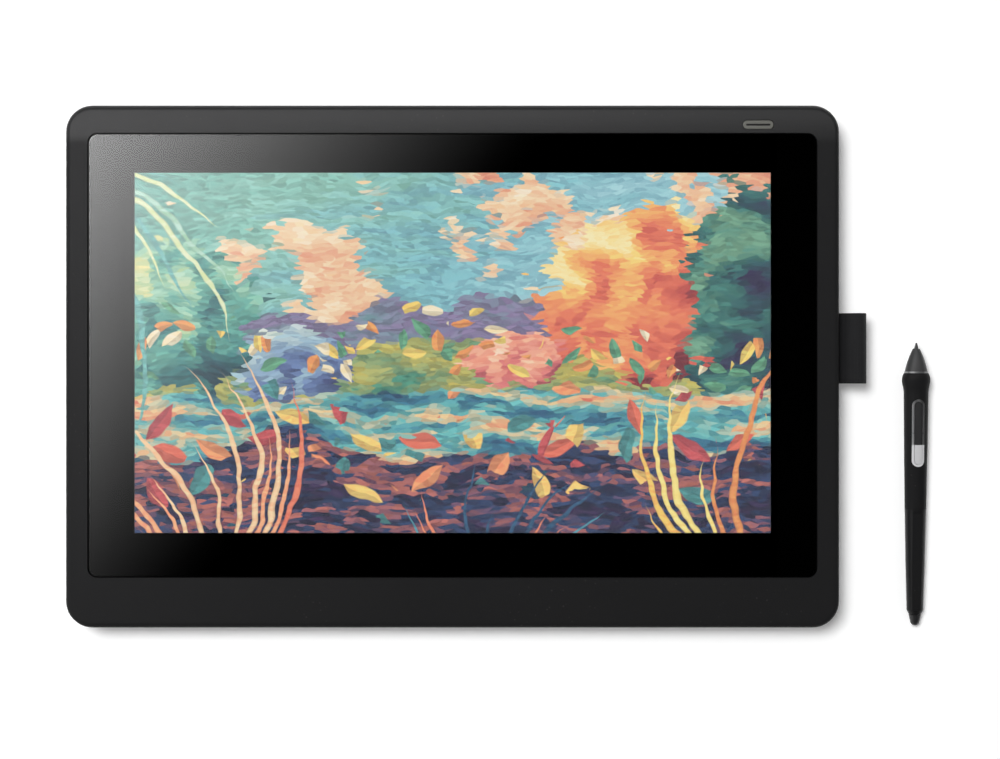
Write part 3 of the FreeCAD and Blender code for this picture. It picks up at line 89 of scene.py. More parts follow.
def selectVerts(piece, chosen, kind="VERT"):
    bpy.ops.mesh.select_mode(type="VERT")
    bpy.ops.mesh.select_all(action="DESELECT")
    mesh = bmesh.from_edit_mesh(piece.data)
    for vert in mesh.verts:
        vert.select = chosen(vert.co)
    mesh.select_flush(True)
    bmesh.update_edit_mesh(piece.data)
    bpy.ops.mesh.select_mode(type=kind)


def reshape(piece, name, kind, **settings):
    # a modifier, applied at once
    modifier = piece.modifiers.new(name, kind)
    for key, value in settings.items():
        setattr(modifier, key, value)
    bpy.context.view_layer.objects.active = piece
    bpy.ops.object.modifier_apply(modifier=modifier.name)


def feed(tree, node, values):
    # each value is a socket to link or what to set
    for name, value in values.items():
        if isinstance(value, bpy.types.NodeSocket):
            tree.links.new(value, node.inputs[name])
        else:
            node.inputs[name].default_value = value
    return node


def addNode(tree, kind, inputs=None, **settings):
    node = tree.nodes.new("ShaderNode" + kind)
    for name, value in settings.items():
        setattr(node, name, value)
    return feed(tree, node, inputs or {})


def calc(tree, kind, *values):
    return addNode(tree, "Math", dict(enumerate(values)), operation=kind).outputs[0]


def minus(tree, value, less):
    return calc(tree, "SUBTRACT", value, less)


def times(tree, value, *factors):
    for factor in factors:
        value = calc(tree, "MULTIPLY", value, factor)
    return value


def weigh(tree, one, other, oneShare, otherShare):
    return calc(tree, "MULTIPLY_ADD", one, oneShare, times(tree, other, otherShare))


def apart(tree, value, other):
    return calc(tree, "ABSOLUTE", minus(tree, value, other))


def shift(tree, kind, *values):
    return addNode(tree, "VectorMath", dict(enumerate(values)), operation=kind).outputs[0]


def measure(tree, kind, *values):
    # a number taken from vectors
    node = addNode(tree, "VectorMath", dict(enumerate(values)), operation=kind)
    return node.outputs["Value"]


def split(tree, vector):
    spot = addNode(tree, "SeparateXYZ", {"Vector": vector}).outputs
    return spot["X"], spot["Y"], spot["Z"]


def objectPlace(tree):
    return addNode(tree, "TexCoord").outputs["Object"]


def mapped(tree, vector, kind="POINT", **values):
    return addNode(tree, "Mapping", {"Vector": vector, **values}, vector_type=kind
                   ).outputs["Vector"]


def spread(tree, value, low, high, toLow=0.0, toHigh=1.0, smooth=True):
    return addNode(tree, "MapRange", {"Value": value, "From Min": low, "From Max": high,
                                      "To Min": toLow, "To Max": toHigh},
                   interpolation_type="SMOOTHSTEP" if smooth else "LINEAR").outputs["Result"]


def noise(tree, vector, scale, detail=2.0, rough=0.5, distort=0.0, output="Fac"):
    return addNode(tree, "TexNoise", {"Vector": vector, "Scale": scale, "Detail": detail,
                                      "Roughness": rough, "Distortion": distort}
                   ).outputs[output]


def opaque(colour):
    # three numbers get an alpha, a socket stays as it is
    return colour if isinstance(colour, bpy.types.NodeSocket) else (*colour, 1.0)


def blendColour(tree, mask, under, over, kind="MIX"):
    # inputs 0, 6 and 7 are the mask and the two colours, output 2 the blend
    return addNode(tree, "Mix", {0: mask, 6: opaque(under), 7: opaque(over)},
                   data_type="RGBA", blend_type=kind).outputs[2]


def srgb(red, green, blue):
    # a colour as picked on a screen, 0 to 255, turned into scene light
    return tuple(((c / 255 + 0.055) / 1.055) ** 2.4 if c > 10 else c / 255 / 12.92
                 for c in (red, green, blue))


def paintRamp(tree, value, colours, kind="LINEAR"):
    # screen colours at even steps
    node = addNode(tree, "ValToRGB", {"Fac": value})
    ramp = node.color_ramp
    ramp.interpolation = kind
    while len(ramp.elements) < len(colours):
        ramp.elements.new(1.0)
    for index, (element, colour) in enumerate(zip(ramp.elements, colours)):
        element.position = index / (len(colours) - 1)
        element.color = opaque(srgb(*colour))
    return node.outputs["Color"]


def newMaterial(name, colour=(0.5, 0.5, 0.5), rough=0.5, metal=0.0):
    material = bpy.data.materials.new(name)
    material.use_nodes = True
    tree = material.node_tree
    shader = feed(tree, tree.nodes["Principled BSDF"], {
        "Base Color": opaque(colour), "Roughness": rough, "Metallic": metal})
    return material, tree, shader


def newGroup(name, inputs, outputs):
    group = bpy.data.node_groups.new(name, "ShaderNodeTree")
    for label, value in inputs.items():
        kind = "NodeSocketFloat" if isinstance(value, float) else "NodeSocketVector"
        socket = group.interface.new_socket(label, in_out="INPUT", socket_type=kind)
        socket.default_value = value
    for label in outputs:
        group.interface.new_socket(label, in_out="OUTPUT", socket_type="NodeSocketFloat")
    return group, group.nodes.new("NodeGroupInput").outputs, group.nodes.new("NodeGroupOutput")


floorSet = {
    "side": 60.0,
    "drop": 0.0002,           # it lies just below the lowest piece
    "colour": 0.93,
    "lift": 0.14,
    "white": (0.55, 1.5),     # from here to here it turns plain white for the eye
}
deselectAll()
bpy.ops.mesh.primitive_plane_add(size=floorSet["side"], location=(0, 0, -floorSet["drop"]))
floor = bpy.context.object
floor.name = "studioFloor"
placeInMesh(floor)
floorMaterial, tree, shader = newMaterial("floorPaper")
tree.nodes.remove(shader)
paper = addNode(tree, "BsdfDiffuse", {"Color": opaque((floorSet["colour"],) * 3)})
path = addNode(tree, "LightPath").outputs
seen = calc(tree, "MAXIMUM", path["Is Camera Ray"], path["Is Glossy Ray"])
seen = calc(tree, "MAXIMUM", seen, path["Is Transmission Ray"])
away = measure(tree, "LENGTH", objectPlace(tree))
strength = spread(tree, away, *floorSet["white"], floorSet["lift"], 1.0)
lift = addNode(tree, "Emission", {"Strength": times(tree, seen, strength)})
both = addNode(tree, "AddShader", {0: paper.outputs[0], 1: lift.outputs[0]})
# from below the floor is clear, so that the underside can be looked at
below = addNode(tree, "NewGeometry").outputs["Backfacing"]
clear = addNode(tree, "BsdfTransparent").outputs[0]
surface = addNode(tree, "MixShader", {0: below, 1: both.outputs[0], 2: clear})
feed(tree, tree.nodes["Material Output"], {"Surface": surface.outputs[0]})
floor.data.materials.append(floorMaterial)

lightSet = {
    "keyPlace": (-0.62, 0.55, 2.35),
    "keySize": 0.85,
    "keyPower": 57.0,
    "ambient": 0.22,
    "rise": (0.25, 0.8),      # the mirrored sky fades out upwards between these
    "turn": (-0.85, -0.25),   # and from the left to everywhere else between these
    "horizon": (1.0, 0.12),   # its light at the left and everywhere else
    "least": 0.004,
}
keyData = bpy.data.lights.new("keyLamp", "AREA")
keyData.shape = "SQUARE"
keyData.size = lightSet["keySize"]
keyData.energy = lightSet["keyPower"]
keyLamp = bpy.data.objects.new("keyLamp", keyData)
keyLamp.location = lightSet["keyPlace"]
keyLamp.rotation_euler = Vector(lightSet["keyPlace"]).to_track_quat("Z", "Y").to_euler()
keyLamp.visible_glossy = False         # the cards below make the reflections
keyLamp.visible_transmission = False
scene.collection.objects.link(keyLamp)

world = bpy.data.worlds.new("studioWorld")
scene.world = world
world.use_nodes = True
tree = world.node_tree
tree.nodes.clear()
path = addNode(tree, "LightPath").outputs
right, far, up = split(tree, addNode(tree, "TexCoord").outputs["Generated"])
dome = times(tree, spread(tree, up, *lightSet["rise"], 1.0, 0.0),
             spread(tree, right, *lightSet["turn"], *lightSet["horizon"]))
dome = calc(tree, "MAXIMUM", dome, lightSet["least"])
mirrored = path["Is Glossy Ray"]
seen = calc(tree, "MAXIMUM", path["Is Camera Ray"], path["Is Transmission Ray"])
level = calc(tree, "MAXIMUM", times(tree, mirrored, dome), seen)
plain = minus(tree, 1.0, calc(tree, "MAXIMUM", mirrored, seen))
level = calc(tree, "MULTIPLY_ADD", plain, lightSet["ambient"], level)
sky = addNode(tree, "Background", {"Color": opaque((1, 1, 1)), "Strength": level})
addNode(tree, "OutputWorld", {"Surface": sky.outputs[0]})

# soft cards overhead that only shine in reflections: one for the glass, bright at its far left
# corner, one for the pen, one for the left rim and one for the far rim
glassLow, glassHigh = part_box("cover_glass")
cardSet = {
    "level": 0.42,
    "middle": (-0.10, 0.1),
    "size": (0.62, 0.6),
    "fallRight": 3.936,
    "fallNear": 3.03,
    "peak": 0.588,
    "gloss": 0.0375,          # how much of a card's light the glass mirrors
    "most": 1.25,
    "gamma": 2.2,             # from the brightness on a screen to light
}
penCardSet = {
    "level": 0.42,
    "middle": (0.325, -0.12),
    "size": (0.09, 0.42),
    "soft": 0.35,
    "glow": 0.65,
}
sideCardSet = {
    "level": 0.42,
    "middle": (-0.53, -0.1),
    "size": (0.40, 0.55),
    "soft": 0.3,
    "glow": 1.6,
}
farCardSet = {
    "level": 0.41,
    "middle": (0.0, 0.335),
    "size": (0.98, 0.25),
    "rise": 0.10,             # from each long edge to full brightness
    "glow": (10.0, 2.0),      # at its left and right ends
}


def hangCard(name, values):
    deselectAll()
    bpy.ops.mesh.primitive_plane_add(size=1.0, location=(*values["middle"], values["level"]))
    card = bpy.context.object
    card.name = name
    card.scale = (*values["size"], 1.0)
    placeInMesh(card)
    for sight in ("camera", "diffuse", "transmission", "shadow"):
        setattr(card, "visible_" + sight, False)
    material, tree, shader = newMaterial(name + "Glow")
    tree.nodes.remove(shader)
    across, along, rise = split(tree, objectPlace(tree))
    card.data.materials.append(material)
    return card, tree, across, along


def lightCard(tree, strength):
    shine = addNode(tree, "Emission", {"Strength": strength})
    feed(tree, tree.nodes["Material Output"], {"Surface": shine.outputs[0]})


# a place on the card stands for the place on the glass where the camera sees it mirrored
view = cameraSet["place"]
grow = 1 + (cardSet["level"] - glassHigh.z) / (view[2] - glassHigh.z)
card, tree, across, along = hangCard("glassCard", cardSet)
across = calc(tree, "DIVIDE", minus(tree, across, view[0]), grow)
across = calc(tree, "ADD", across, view[0] - glassLow.x)
along = calc(tree, "DIVIDE", minus(tree, along, view[1]), grow)
along = minus(tree, glassHigh.y - view[1], along)
fall = weigh(tree, along, across, cardSet["fallNear"], cardSet["fallRight"])
left = calc(tree, "MAXIMUM", minus(tree, 1.0, fall), 0.0)
left = calc(tree, "MINIMUM", left, cardSet["most"])
glow = calc(tree, "POWER", times(tree, left, cardSet["peak"]), cardSet["gamma"])
lightCard(tree, calc(tree, "DIVIDE", glow, cardSet["gloss"]))


def softCard(name, values):
    card, tree, across, along = hangCard(name, values)
    glow = values["glow"]
    for value, axis in ((across, 0), (along, 1)):
        half = values["size"][axis] / 2
        off = apart(tree, value, values["middle"][axis])
        glow = times(tree, glow, spread(tree, off, half, half * (1 - values["soft"])))
    lightCard(tree, glow)
    return card


penCard = softCard("penCard", penCardSet)
sideCard = softCard("sideCard", sideCardSet)

# the card past the far edge is soft on both sides and ends low, clear of most front views
farCard, tree, across, along = hangCard("farCard", farCardSet)
(middle, beyond), (wide, deep) = farCardSet["middle"], farCardSet["size"]
glow = spread(tree, across, middle - wide / 2, middle + wide / 2, *farCardSet["glow"], False)
lightCard(tree, times(tree, glow, spread(tree, apart(tree, along, beyond), deep / 2,
                                         deep / 2 - farCardSet["rise"])))
print("pen display: stage lit")


# a noise is given by its scale, detail, roughness and distortion
grainSet = {
    "fine": (2.3, 3, 0.6),        # its scale is against that of the pebbles
    "fineShare": 0.6,
    "quick": (420.0, 2, 0.5),
    "slow": (14.0, 4, 0.6),
    "shares": (0.35, 0.65),       # of the quick and the slow one in the shade
}


def makeGrain():
    # pebbled skin of a moulded part: height for the bump and a slow change of shade
    group, source, result = newGroup("mouldGrain", {"Scale": 900.0}, ("Height", "Shade"))
    place = objectPlace(group)
    pebble = addNode(group, "TexVoronoi", {"Vector": place, "Scale": source["Scale"]})
    finer, *feel = grainSet["fine"]
    fine = noise(group, place, times(group, source["Scale"], finer), *feel)
    slow = noise(group, place, *grainSet["slow"])
    quick = noise(group, place, *grainSet["quick"])
    feed(group, result, {
        "Height": calc(group, "MULTIPLY_ADD", fine, grainSet["fineShare"],
                       pebble.outputs["Distance"]),
        "Shade": weigh(group, quick, slow, *grainSet["shares"])})
    return group


handlingSet = {
    "smudge": (9.0, 5, 0.62, 0.6),
    "smudgeFrom": (0.5, 0.72),
    "speckScale": 260.0,
    "speckFrom": (0.16, 0.05),
    "drift": (22.0, 3),
    "driftFrom": (0.45, 0.7),
}


def makeHandling():
    # faint dust and finger marks: both masks run from 0, clean, to 1
    group, source, result = newGroup("handling", {"Amount": 0.5}, ("Smudge", "Dust"))
    place = objectPlace(group)
    amount = source["Amount"]
    smudge = spread(group, noise(group, place, *handlingSet["smudge"]),
                    *handlingSet["smudgeFrom"])
    speck = addNode(group, "TexVoronoi", {"Vector": place, "Scale": handlingSet["speckScale"]})
    dust = spread(group, speck.outputs["Distance"], *handlingSet["speckFrom"])
    drift = spread(group, noise(group, place, *handlingSet["drift"]), *handlingSet["driftFrom"])
    feed(group, result, {"Smudge": times(group, smudge, amount),
                         "Dust": times(group, dust, drift, amount)})
    return group


brushSet = {
    "feel": (3, 0.65),
    "stain": (60.0, 3, 0.6),
    "shares": (0.5, 0.5),
}


def makeBrush():
    # fine drawn lines along one axis of a metal part
    group, source, result = newGroup("drawnLines", {"Stretch": (1.0, 1.0, 1.0), "Scale": 900.0},
                                     ("Height", "Shade"))
    place = objectPlace(group)
    drawn = shift(group, "MULTIPLY", place, source["Stretch"])
    lines = noise(group, drawn, source["Scale"], *brushSet["feel"])
    stain = noise(group, place, *brushSet["stain"])
    feed(group, result, {"Height": lines,
                         "Shade": weigh(group, stain, lines, *brushSet["shares"])})
    return group


grainGroup = makeGrain()
handlingGroup = makeHandling()
brushGroup = makeBrush()
plasticSet = {
    "dust": 0.25,
    "dustColour": (0.3, 0.29, 0.27),
    "shade": (0.2, 0.8),
    "rough": (-0.03, 0.04),
    "smudge": -0.06,
}
metalSet = {
    "tint": (0.82, 1.12),
    "shade": (0.2, 0.8),
    "rough": (-0.06, 0.1),
}


def addBump(tree, shader, height, distance):
    bump = addNode(tree, "Bump", {"Height": height, "Distance": distance})
    feed(tree, shader, {"Normal": bump.outputs["Normal"]})


def mouldedPlastic(name, colour, rough, scale=900.0, bump=0.00004, change=0.12, marks=0.3,
                   specular=0.5):
    material, tree, shader = newMaterial(name, colour, rough)
    grain = addNode(tree, "Group", {"Scale": scale}, node_tree=grainGroup).outputs
    touch = addNode(tree, "Group", {"Amount": marks}, node_tree=handlingGroup).outputs
    low, high = ([c * share for c in colour] for share in (1 - change, 1 + change))
    tint = blendColour(tree, grain["Shade"], low, high)
    tint = blendColour(tree, times(tree, touch["Dust"], plasticSet["dust"]), tint,
                       plasticSet["dustColour"])
    sheen = spread(tree, grain["Shade"], *plasticSet["shade"],
                   *(rough + more for more in plasticSet["rough"]), False)
    sheen = calc(tree, "MULTIPLY_ADD", touch["Smudge"], plasticSet["smudge"], sheen)
    feed(tree, shader, {"Base Color": tint, "Roughness": sheen, "Specular IOR Level": specular})
    addBump(tree, shader, grain["Height"], bump)
    return material


def drawnMetal(name, colour, rough, stretch=(1.0, 30.0, 1.0), scale=500.0, bump=0.00001):
    material, tree, shader = newMaterial(name, colour, rough, 1.0)
    brush = addNode(tree, "Group", {"Stretch": stretch, "Scale": scale}, node_tree=brushGroup
                    ).outputs
    low, high = ([min(c * share, 1) for c in colour] for share in metalSet["tint"])
    sheen = spread(tree, brush["Shade"], *metalSet["shade"],
                   *(rough + more for more in metalSet["rough"]), False)
    feed(tree, shader, {"Base Color": blendColour(tree, brush["Shade"], low, high),
                        "Roughness": sheen})
    addBump(tree, shader, brush["Height"], bump)
    return material


lcdLow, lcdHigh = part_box("lcd_cell")
pictureSet = {
    "middle": ((lcdLow.x + lcdHigh.x) / 2, (lcdLow.y + lcdHigh.y) / 2),
    "half": (0.1738, 0.0984),      # every place and length below is in half widths
    "backing": (0.004, 0.004, 0.005),
    "rough": 0.35,
    "strength": 1.0,
    "print": 0.06,                 # how much of the picture shows by room light
    "printDark": (0.002, 0.002, 0.002),
    "drag": (4.0, 3, 0.55),
    "dragFar": (0.10, 0.10, 0),
    "dab": (34.0, 105.0),
    "dabTurn": 0.5,
    "dabSpread": 0.13,
    "tooth": (120.0, 2, 0.6),
    "toothShare": 0.3,
    "saturation": 0.90,
    "value": 0.90,
    "strokes": (1.0, 4, 0.6),
    "strokesTurn": 0.6,
    "strokesScale": (3.0, 22.0, 0),
    "ripples": (1.0, 5, 0.62),
    "ripplesScale": (2.6, 17.0, 0),
    "billow": (2.3, 8, 0.62),
    "mottle": (8.0, 7, 0.68, 0.8),
    "earth": (6.5, 6, 0.72, 1.2),
    "earthScale": (0.5, 1.5, 0.0),
    # sky from sea green at the left through light blue to a pale right
    "skyShares": (0.32, -0.30),                   # by width, by height
    "skyRun": (0.22, 0.55),                       # from, by strokes
    "sky": ((92, 166, 152), (134, 198, 182), (116, 184, 196), (152, 206, 216), (184, 220, 208),
            (234, 230, 196)),
    "cloudRun": (0.06, -0.52),                    # by width, from
    "cloudEdge": 0.015,
    "cloudLight": ((-0.03, 0.045, 0), 4.5, 0.5),  # from the upper left, contrast, middle
    "cloud": ((222, 116, 92), (238, 166, 122), (248, 212, 166), (253, 240, 208)),
    # layers from far to near: height, swing, pace and seed of the skyline, then colours
    "farRange": ((0.15, 0.40, 1.7, 4.2), (
        (34, 62, 104), (62, 122, 148), (132, 116, 156), (100, 162, 162), (226, 172, 150))),
    "farShares": (0.6, 0.45),
    "midRange": ((0.02, 0.44, 1.1, 11.7), (
        (16, 54, 72), (30, 104, 108), (66, 146, 120), (208, 188, 70), (244, 214, 104),
        (52, 124, 120))),
    "midShares": (0.5, 0.5),
    "lake": ((-0.12, 0.16, 0.8, 23.1), (
        (12, 28, 62), (22, 62, 106), (36, 120, 148), (92, 186, 184), (238, 196, 136),
        (230, 112, 74), (40, 60, 110))),
    "lakeTone": (0.25, 0.76),
    "bank": ((-0.30, 0.46, 1.3, 31.4), (
        (10, 16, 40), (22, 34, 78), (58, 38, 84), (14, 24, 58), (32, 62, 108), (186, 96, 82),
        (20, 40, 88), (24, 86, 104), (12, 18, 46))),
    "bankTone": (0.25, 0.75),
    "lineFeel": (5.0, 0.5),
    "lineSoft": 0.004,
    # round crowns of foliage: middle, half size, grain, from shade to light
    "crowns": (
        ((0.60, 0.17), (0.33, 0.27), 8.0, (
            (120, 34, 52), (206, 62, 48), (236, 104, 58), (246, 156, 70), (252, 206, 96),
            (253, 232, 160))),
        ((1.00, 0.14), (0.27, 0.40), 9.0, (
            (26, 28, 54), (48, 44, 84), (32, 84, 94), (56, 128, 118), (106, 162, 132))),
        ((-0.88, 0.10), (0.28, 0.25), 9.0, (
            (20, 70, 86), (40, 122, 124), (92, 176, 158), (164, 214, 178), (240, 226, 140))),
        ((-0.50, -0.04), (0.17, 0.12), 13.0, (
            (52, 60, 110), (92, 120, 170), (150, 186, 206), (214, 226, 214))),
        ((0.20, -0.02), (0.16, 0.09), 14.0, (
            (150, 50, 76), (224, 104, 100), (248, 168, 130), (252, 214, 180))),
    ),
    # loose leaves: cells to a half width, reach from the line, cover, length, colours
    "midLeaves": (15.0, 0.13, 0.75, 0.62, (
        (250, 214, 90), (240, 150, 60), (96, 170, 130), (250, 232, 190), (44, 96, 120))),
    "bankLeaves": (9.0, 0.22, 0.85, 0.6, (
        (232, 96, 62), (246, 150, 84), (250, 206, 96), (200, 62, 70), (70, 150, 150),
        (30, 50, 96))),
    # tufts of reeds: root, count over a full turn, bend, length, lean from and to, colours
    "tufts": (
        ((0.99, -0.86), 84, 0.55, 1.05, 1.75, 2.85, (
            (250, 196, 70), (253, 228, 120), (236, 140, 52), (28, 92, 120))),
        ((-0.72, -0.84), 92, -0.62, 0.88, 0.75, 2.2, (
            (238, 116, 74), (250, 166, 110), (252, 204, 150), (44, 60, 118))),
        ((-1.34, 0.66), 96, 0.42, 1.10, -1.15, -0.05, (
            (170, 216, 190), (226, 236, 180), (104, 182, 176), (250, 236, 150))),
        ((0.10, -0.88), 90, 0.5, 0.62, 0.7, 2.4, (
            (60, 150, 170), (240, 130, 80), (26, 84, 122), (120, 196, 196))),
    ),
}


def paintLayer(tree, paint, across, height, layer, tone):
    # everything below a skyline, which is one slow wave with a quick one on it
    (base, swing, pace, seed), colours = layer
    detail, rough = pictureSet["lineFeel"]
    wave = addNode(tree, "TexNoise", {
        "W": calc(tree, "MULTIPLY_ADD", across, pace, seed), "Scale": 1.0, "Detail": detail,
        "Roughness": rough}, noise_dimensions="1D").outputs["Fac"]
    line = calc(tree, "MULTIPLY_ADD", minus(tree, wave, 0.5), swing, base)
    soft = pictureSet["lineSoft"]
    mask = spread(tree, minus(tree, line, height), -soft, soft)
    return blendColour(tree, mask, paint, paintRamp(tree, tone, colours)), line


crownSet = {
    "ragged": (6, 0.66),
    "raggedBy": 1.5,
    "raggedFrom": 0.75,
    "edge": (1.0, 0.97),
    "light": (-0.22, 0.30, 0),
    "clumps": (3, 0.55, 0.5),
    "clumpScale": 0.8,
    "clumpsBy": 2.2,
    "clumpsFrom": 0.62,
    "own": (7, 9),        # sets the noise of one crown apart from the next
}


def paintCrown(tree, paint, place, crown):
    (x, y), (wide, tall), grain, colours = crown
    local = mapped(tree, place, Location=(-x / wide, -y / tall, 0),
                   Scale=(1 / wide, 1 / tall, 0))
    byPlace, byWidth = crownSet["own"]
    ragged = noise(tree, shift(tree, "ADD", place, (x * byPlace, wide * byWidth, 0)), grain,
                   *crownSet["ragged"])
    edge = minus(tree, measure(tree, "LENGTH", local), crownSet["raggedFrom"])
    edge = calc(tree, "MULTIPLY_ADD", ragged, crownSet["raggedBy"], edge)
    lit = measure(tree, "DOT_PRODUCT", local, crownSet["light"])
    clumps = noise(tree, place, grain * crownSet["clumpScale"], *crownSet["clumps"])
    tone = calc(tree, "MULTIPLY_ADD", clumps, crownSet["clumpsBy"],
                minus(tree, lit, crownSet["clumpsFrom"]))
    return blendColour(tree, spread(tree, edge, *crownSet["edge"]), paint,
                       paintRamp(tree, tone, colours))


tuftSet = {
    "shortest": 0.45,     # share of the full length
    "width": 0.46,        # half a blade, in lanes
    "edge": (-0.02, 0.06),
    "missing": 0.42,
    "shade": 2.4,
    "shadeColour": (60, 34, 60),
}


def paintTuft(tree, paint, place, tuft):
    # each reed keeps to its own lane round the root
    root, count, bend, length, first, last, colours = tuft
    local = shift(tree, "SUBTRACT", place, (*root, 0))
    right, up, rise = split(tree, local)
    reach = measure(tree, "LENGTH", local)
    angle = calc(tree, "MULTIPLY_ADD", times(tree, reach, reach), bend,
                 calc(tree, "ARCTAN2", up, right))
    lane = times(tree, angle, count / (2 * math.pi))
    off = apart(tree, calc(tree, "FRACT", lane), 0.5)
    size, there, hue = split(tree, addNode(
        tree, "TexWhiteNoise", {"W": calc(tree, "FLOOR", lane)}, noise_dimensions="1D"
    ).outputs["Color"])
    least = tuftSet["shortest"]
    full = calc(tree, "MULTIPLY_ADD", size, length * (1 - least), length * least)
    share = calc(tree, "DIVIDE", reach, full)
    width = times(tree, minus(tree, 1.0, times(tree, share, share)), tuftSet["width"])
    blade = times(tree, spread(tree, minus(tree, width, off), *tuftSet["edge"]),
                  times(tree, calc(tree, "GREATER_THAN", angle, first),
                        calc(tree, "LESS_THAN", angle, last)),
                  calc(tree, "GREATER_THAN", there, tuftSet["missing"]))
    tone = blendColour(tree, times(tree, off, off, tuftSet["shade"]),
                       paintRamp(tree, hue, colours, "CONSTANT"), srgb(*tuftSet["shadeColour"]))
    return blendColour(tree, blade, paint, tone)


leafSet = {
    "fat": 0.42,
    "edge": 0.05,
    "turn": 6.28,
    "half": 0.28,         # how much darker one half of a leaf is
    "halfColour": (40, 30, 60),
}


def paintLeaves(tree, paint, place, line, height, leaves):
    # one leaf in each cell, turned its own way, thrown along a line
    scale, depth, cover, long, colours = leaves
    cells = addNode(tree, "TexVoronoi", {"Vector": place, "Scale": scale}).outputs
    hue, there, turn = split(tree, cells["Color"])
    local = addNode(tree, "VectorRotate", {
        "Vector": shift(tree, "SUBTRACT", place, cells["Position"]),
        "Angle": times(tree, turn, leafSet["turn"])}, rotation_type="Z_AXIS").outputs["Vector"]
    right, up, rise = split(tree, shift(tree, "MULTIPLY", local, (scale,) * 3))
    bow = minus(tree, 1.0, times(tree, right, right, 1 / (long * long)))
    rim = minus(tree, times(tree, bow, long * leafSet["fat"]), calc(tree, "ABSOLUTE", up))
    likely = spread(tree, apart(tree, height, line), 0.0, depth, cover, 0.0)
    mask = times(tree, spread(tree, rim, 0.0, leafSet["edge"]),
                 calc(tree, "LESS_THAN", there, likely))
    half = times(tree, calc(tree, "GREATER_THAN", up, 0.0), leafSet["half"])
    tone = blendColour(tree, half, paintRamp(tree, hue, colours, "CONSTANT"),
                       srgb(*leafSet["halfColour"]))
    return blendColour(tree, mask, paint, tone)


def paintPicture(tree):
    half = pictureSet["half"][0]
    x, y = pictureSet["middle"]
    flat = mapped(tree, objectPlace(tree), Location=(-x / half, -y / half, 0),
                  Scale=(1 / half, 1 / half, 0))
    # the brush drags every outline a little
    drag = shift(tree, "SUBTRACT", noise(tree, flat, *pictureSet["drag"], output="Color"),
                 (0.5,) * 3)
    worked = shift(tree, "MULTIPLY_ADD", drag, pictureSet["dragFar"], flat)
    # every dab of the brush takes the colour of its own middle
    turn = {"Rotation": (0, 0, pictureSet["dabTurn"]), "Scale": (*pictureSet["dab"], 1.0)}
    dabs = addNode(tree, "TexVoronoi", {"Vector": mapped(tree, worked, **turn), "Scale": 1.0}
                   ).outputs
    place = shift(tree, "MULTIPLY", mapped(tree, dabs["Position"], "TEXTURE", **turn),
                  (1.0, 1.0, 0.0))
    shade = split(tree, dabs["Color"])[0]
    across, height, rise = split(tree, place)
    slanted = mapped(tree, place, Rotation=(0, 0, pictureSet["strokesTurn"]),
                     Scale=pictureSet["strokesScale"])
    strokes = noise(tree, slanted, *pictureSet["strokes"])
    ripples = noise(tree, mapped(tree, place, Scale=pictureSet["ripplesScale"]),
                    *pictureSet["ripples"])
    billow = noise(tree, place, *pictureSet["billow"])
    mottle = noise(tree, place, *pictureSet["mottle"])

    start, byStrokes = pictureSet["skyRun"]
    tone = calc(tree, "ADD", weigh(tree, across, height, *pictureSet["skyShares"]), start)
    tone = calc(tree, "MULTIPLY_ADD", strokes, byStrokes, tone)
    paint = paintRamp(tree, tone, pictureSet["sky"])
    byWidth, start = pictureSet["cloudRun"]
    bank = calc(tree, "MULTIPLY_ADD", across, byWidth, calc(tree, "ADD", billow, start))
    light, contrast, level = pictureSet["cloudLight"]
    lit = noise(tree, shift(tree, "ADD", place, light), *pictureSet["billow"])
    shadeSide = calc(tree, "MULTIPLY_ADD", minus(tree, billow, lit), contrast, level)
    paint = blendColour(tree, spread(tree, bank, 0.0, pictureSet["cloudEdge"]), paint,
                        paintRamp(tree, shadeSide, pictureSet["cloud"]))

    # two far ranges with trees before them
    paint, line = paintLayer(tree, paint, across, height, pictureSet["farRange"],
                             weigh(tree, strokes, mottle, *pictureSet["farShares"]))
    paint, line = paintLayer(tree, paint, across, height, pictureSet["midRange"],
                             weigh(tree, ripples, mottle, *pictureSet["midShares"]))
    for crown in pictureSet["crowns"]:
        paint = paintCrown(tree, paint, place, crown)
    paint = paintLeaves(tree, paint, worked, line, height, pictureSet["midLeaves"])

    # water with warm light on it, then the near bank in plum and navy with leaves and reeds
    paint, line = paintLayer(tree, paint, across, height, pictureSet["lake"],
                             spread(tree, ripples, *pictureSet["lakeTone"], smooth=False))
    earth = noise(tree, shift(tree, "MULTIPLY", place, pictureSet["earthScale"]),
                  *pictureSet["earth"])
    paint, line = paintLayer(tree, paint, across, height, pictureSet["bank"],
                             spread(tree, earth, *pictureSet["bankTone"], smooth=False))
    paint = paintLeaves(tree, paint, worked, line, height, pictureSet["bankLeaves"])
    for tuft in pictureSet["tufts"]:
        paint = paintTuft(tree, paint, worked, tuft)

    # each dab a little lighter or darker than its neighbour, and the tooth of the paper
    tooth, share = noise(tree, flat, *pictureSet["tooth"]), pictureSet["toothShare"]
    value = calc(tree, "MULTIPLY_ADD", tooth, share, minus(tree, shade, share / 2))
    value = spread(tree, value, 0.0, 1.0, 0.5 - pictureSet["dabSpread"],
                   0.5 + pictureSet["dabSpread"], False)
    grey = addNode(tree, "CombineColor", {"Red": value, "Green": value, "Blue": value})
    paint = blendColour(tree, 1.0, paint, grey.outputs["Color"], "OVERLAY")
    toned = addNode(tree, "HueSaturation", {"Color": paint, "Value": pictureSet["value"],
                                            "Saturation": pictureSet["saturation"]})
    return flat, toned.outputs["Color"]


